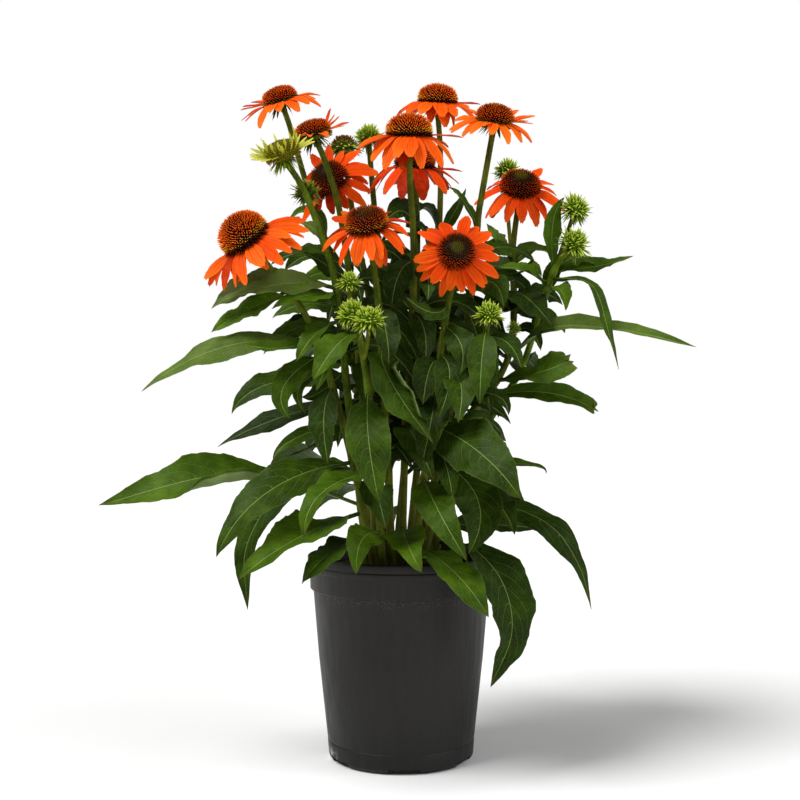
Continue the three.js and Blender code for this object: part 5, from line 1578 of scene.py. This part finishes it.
def pot_inside():
    wall, floor, brim = POT["wall"], POT["floor"], POT_BODY["height"]
    return [
        (POT_LIP["radius"] - POT_LIP["bead"] - wall, POT["height"]),
        (POT_COLLAR["radius"] - wall, POT_COLLAR["height"] - 1),
        (inner_radius(brim + 1), brim + 0.5),
        (inner_radius(brim), brim - 1.5),
        (inner_radius(floor), floor),
        (0, floor),
    ]


def lathe(profile, sides):
    """Rings round Z over a profile that starts and ends on the axis."""
    return rings_round(profile[1:-1, 0], profile[1:-1, 1], sides)


def slot_cutter(centre, size, turn):
    """A plain box, turned round Z."""
    corners = np.array([(x, y, z) for x in (-1, 1) for y in (-1, 1) for z in (-1, 1)]) * size / 2 + centre
    cos, sin = math.cos(turn), math.sin(turn)
    points = corners @ np.array([(cos, sin, 0), (-sin, cos, 0), (0, 0, 1)]) * MM
    faces = [(0, 1, 3, 2), (4, 6, 7, 5), (0, 4, 5, 1), (2, 3, 7, 6), (0, 2, 6, 4), (1, 5, 7, 3)]
    mesh = bpy.data.meshes.new("slot_cutter")
    mesh.from_pydata(points.tolist(), [], faces)
    return add_object("slot_cutter", mesh)


def cut_away(piece, cutters):
    """Cuts the cutters out of the piece for good, and removes them."""
    for cutter in cutters:
        modifier = piece.modifiers.new("cut", "BOOLEAN")
        modifier.operation = "DIFFERENCE"
        modifier.solver = "EXACT"
        modifier.object = cutter
    shaped = bpy.data.meshes.new_from_object(piece.evaluated_get(bpy.context.evaluated_depsgraph_get()))
    piece.modifiers.clear()
    piece.data = shaped
    for cutter in cutters:
        bpy.data.objects.remove(cutter)


def make_pot():
    skin = Skin()
    rings = lathe(rounded(pot_outside() + pot_inside()), 144)
    skin.loft(rings, start=(0, 0, 0), tip=(0, 0, POT["floor"]))
    pot = skin.piece("pot_shell", ["pot"], "pot", ["pot"], crease=50)
    centre = (0, -(POT["base"] + POT_FOOT["radius"]) / 2, 0)
    size = (POT_SLOT["width"], POT_SLOT["depth"], 2 * POT_SLOT["height"])
    turns = angles_round(POT_SLOT["count"]) + TURN * POT_SLOT["turn"] / POT_SLOT["count"]
    cut_away(pot, [slot_cutter(centre, size, turn) for turn in turns])


def soil_height(share):
    """How high the soil stands at a share of the way from its middle to its edge."""
    return SOIL["edge"] - 1.5 + (SOIL["crown"] - SOIL["edge"]) * np.maximum(0.0, 1 - share**2) ** 0.8


def add_soil_body(skin, draws):
    """Soil that fills the pot, with a rough crowned top."""
    foot, brim = POT["floor"] + 0.3, POT_BODY["height"]
    side = [
        (0, foot),
        (inner_radius(POT["floor"]) - SOIL_GAP, foot),
        (inner_radius(brim) - SOIL_GAP, brim - 1.5),
        (inner_radius(brim + 1) - SOIL_GAP, brim + 1.5),
        (inner_radius(SOIL["edge"]) - SOIL_GAP, SOIL["edge"] - 2),
    ]
    edge = side[-1][0]
    top = [(edge * share, soil_height(share)) for share in 1 - np.linspace(0, 1, 26)[:-1]]
    points = lathe(np.array([*side, *top, (0, SOIL["crown"])]), 110)
    rough = draws.normal(size=points.shape[:2])
    for _ in range(2):
        rough = (rough + np.roll(rough, 1, 0) + np.roll(rough, 1, 1) + np.roll(rough, -1, 1)) / 2.4
    rough[: len(side)] = 0
    rough[-2:] = 0
    points[..., 2] += np.clip(rough, -2.5, 2.5)
    skin.loft(points, start=(0, 0, foot), tip=(0, 0, SOIL["crown"]))


def add_crumbs(skin, draws, count=420):
    """Crumbs seated in the soil, a few of them pale."""
    share = 0.95 * np.sqrt(draws.random(count))
    reach = (inner_radius(SOIL["edge"]) - SOIL_GAP) * share
    angle = draws.random(count) * TURN
    size = 0.9 + 2.0 * draws.random(count) ** 2
    ways = unit(draws.normal(size=(count, 3)) + Z_AXIS)
    seats = vectors_of(reach * np.cos(angle), reach * np.sin(angle), soil_height(share) - size * 0.3)
    look = (draws.random(count) < 0.07) * 1.0, 0, 0
    place = 0, draws.random(count)
    skin.spikes(seats - ways * size[:, None], ways, 0 * ways, size * 2.1, size, CRUMB, place, look, sides=7)


def make_soil():
    draws = np.random.default_rng(91)
    skin = Skin()
    add_soil_body(skin, draws)
    add_crumbs(skin, draws)
    skin.piece("soil_crumbs", ["soil"], "soil", ["soil"], crease=75)


# ---------- stage ----------

# The photo's width and focal length in pixels, and the camera's sensor in millimetres.
PHOTO_WIDTH = 800
PHOTO_FOCUS = 1278
SENSOR = 36


def make_camera():
    data = bpy.data.cameras.new("camera")
    data.sensor_width = SENSOR
    data.lens = PHOTO_FOCUS / PHOTO_WIDTH * SENSOR
    data.clip_start, data.clip_end = 0.05, 30
    camera = add_object("camera", data)
    camera.location = EYE * MM
    camera.rotation_euler = (math.radians(90), 0, 0)
    bpy.context.scene.camera = camera


def make_floor(reach=30.0):
    """A pale floor, just under the pot."""
    mesh = bpy.data.meshes.new("floor")
    corners = [(-reach, -reach, 0), (reach, -reach, 0), (reach, reach, 0), (-reach, reach, 0)]
    mesh.from_pydata(corners, [], [range(4)])
    paint = Paint("floor", 0.9)
    paint.colour = paint.mix(paint.noise(3), (236, 236, 235), (239, 239, 239))
    mesh.materials.append(paint.finish())
    floor = add_object("floor", mesh)
    floor.location = (0, 0, -0.0004)


def add_sun(name, way, softness, strength):
    """Even light that comes from the way given. `softness` is its apparent width in degrees."""
    data = bpy.data.lights.new(name, "SUN")
    data.angle = math.radians(softness)
    data.energy = strength
    light = add_object(name, data)
    x, y, z = way
    light.rotation_euler = (math.atan2(math.hypot(x, y), z), 0, math.atan2(y, x) + math.pi / 2)
    light.location = way


def make_world(seen=1.0, lighting=0.2):
    """White surroundings, which the camera sees brighter than they light the plant."""
    world = bpy.data.worlds.new("studio")
    bpy.context.scene.world = world
    world.use_nodes = True
    tree = world.node_tree
    background = tree.nodes["Background"]
    background.inputs["Color"].default_value = (1, 1, 1, 1)
    is_seen = tree.nodes.new("ShaderNodeLightPath").outputs["Is Camera Ray"]
    level = tree.nodes.new("ShaderNodeMapRange")
    tree.links.new(is_seen, level.inputs["Value"])
    level.inputs["To Min"].default_value = lighting
    level.inputs["To Max"].default_value = seen
    tree.links.new(level.outputs[0], background.inputs["Strength"])


def make_studio():
    make_camera()
    make_world()
    make_floor()
    add_sun("key", (-0.6, -0.35, 1.0), 30, 3.5)
    add_sun("fill", (0.9, -0.5, 0.6), 60, 1.4)
    bpy.context.scene.view_settings.view_transform = "Standard"


make_studio()
make_pot()
make_soil()
for number, (key, grown_stem) in enumerate(STEMS.items()):
    make_stem(key, grown_stem, 1000 + number)
make_inner_leaves()
for number, (key, opened) in enumerate(BLOOMS.items()):
    make_bloom(key, opened, 2000 + number)
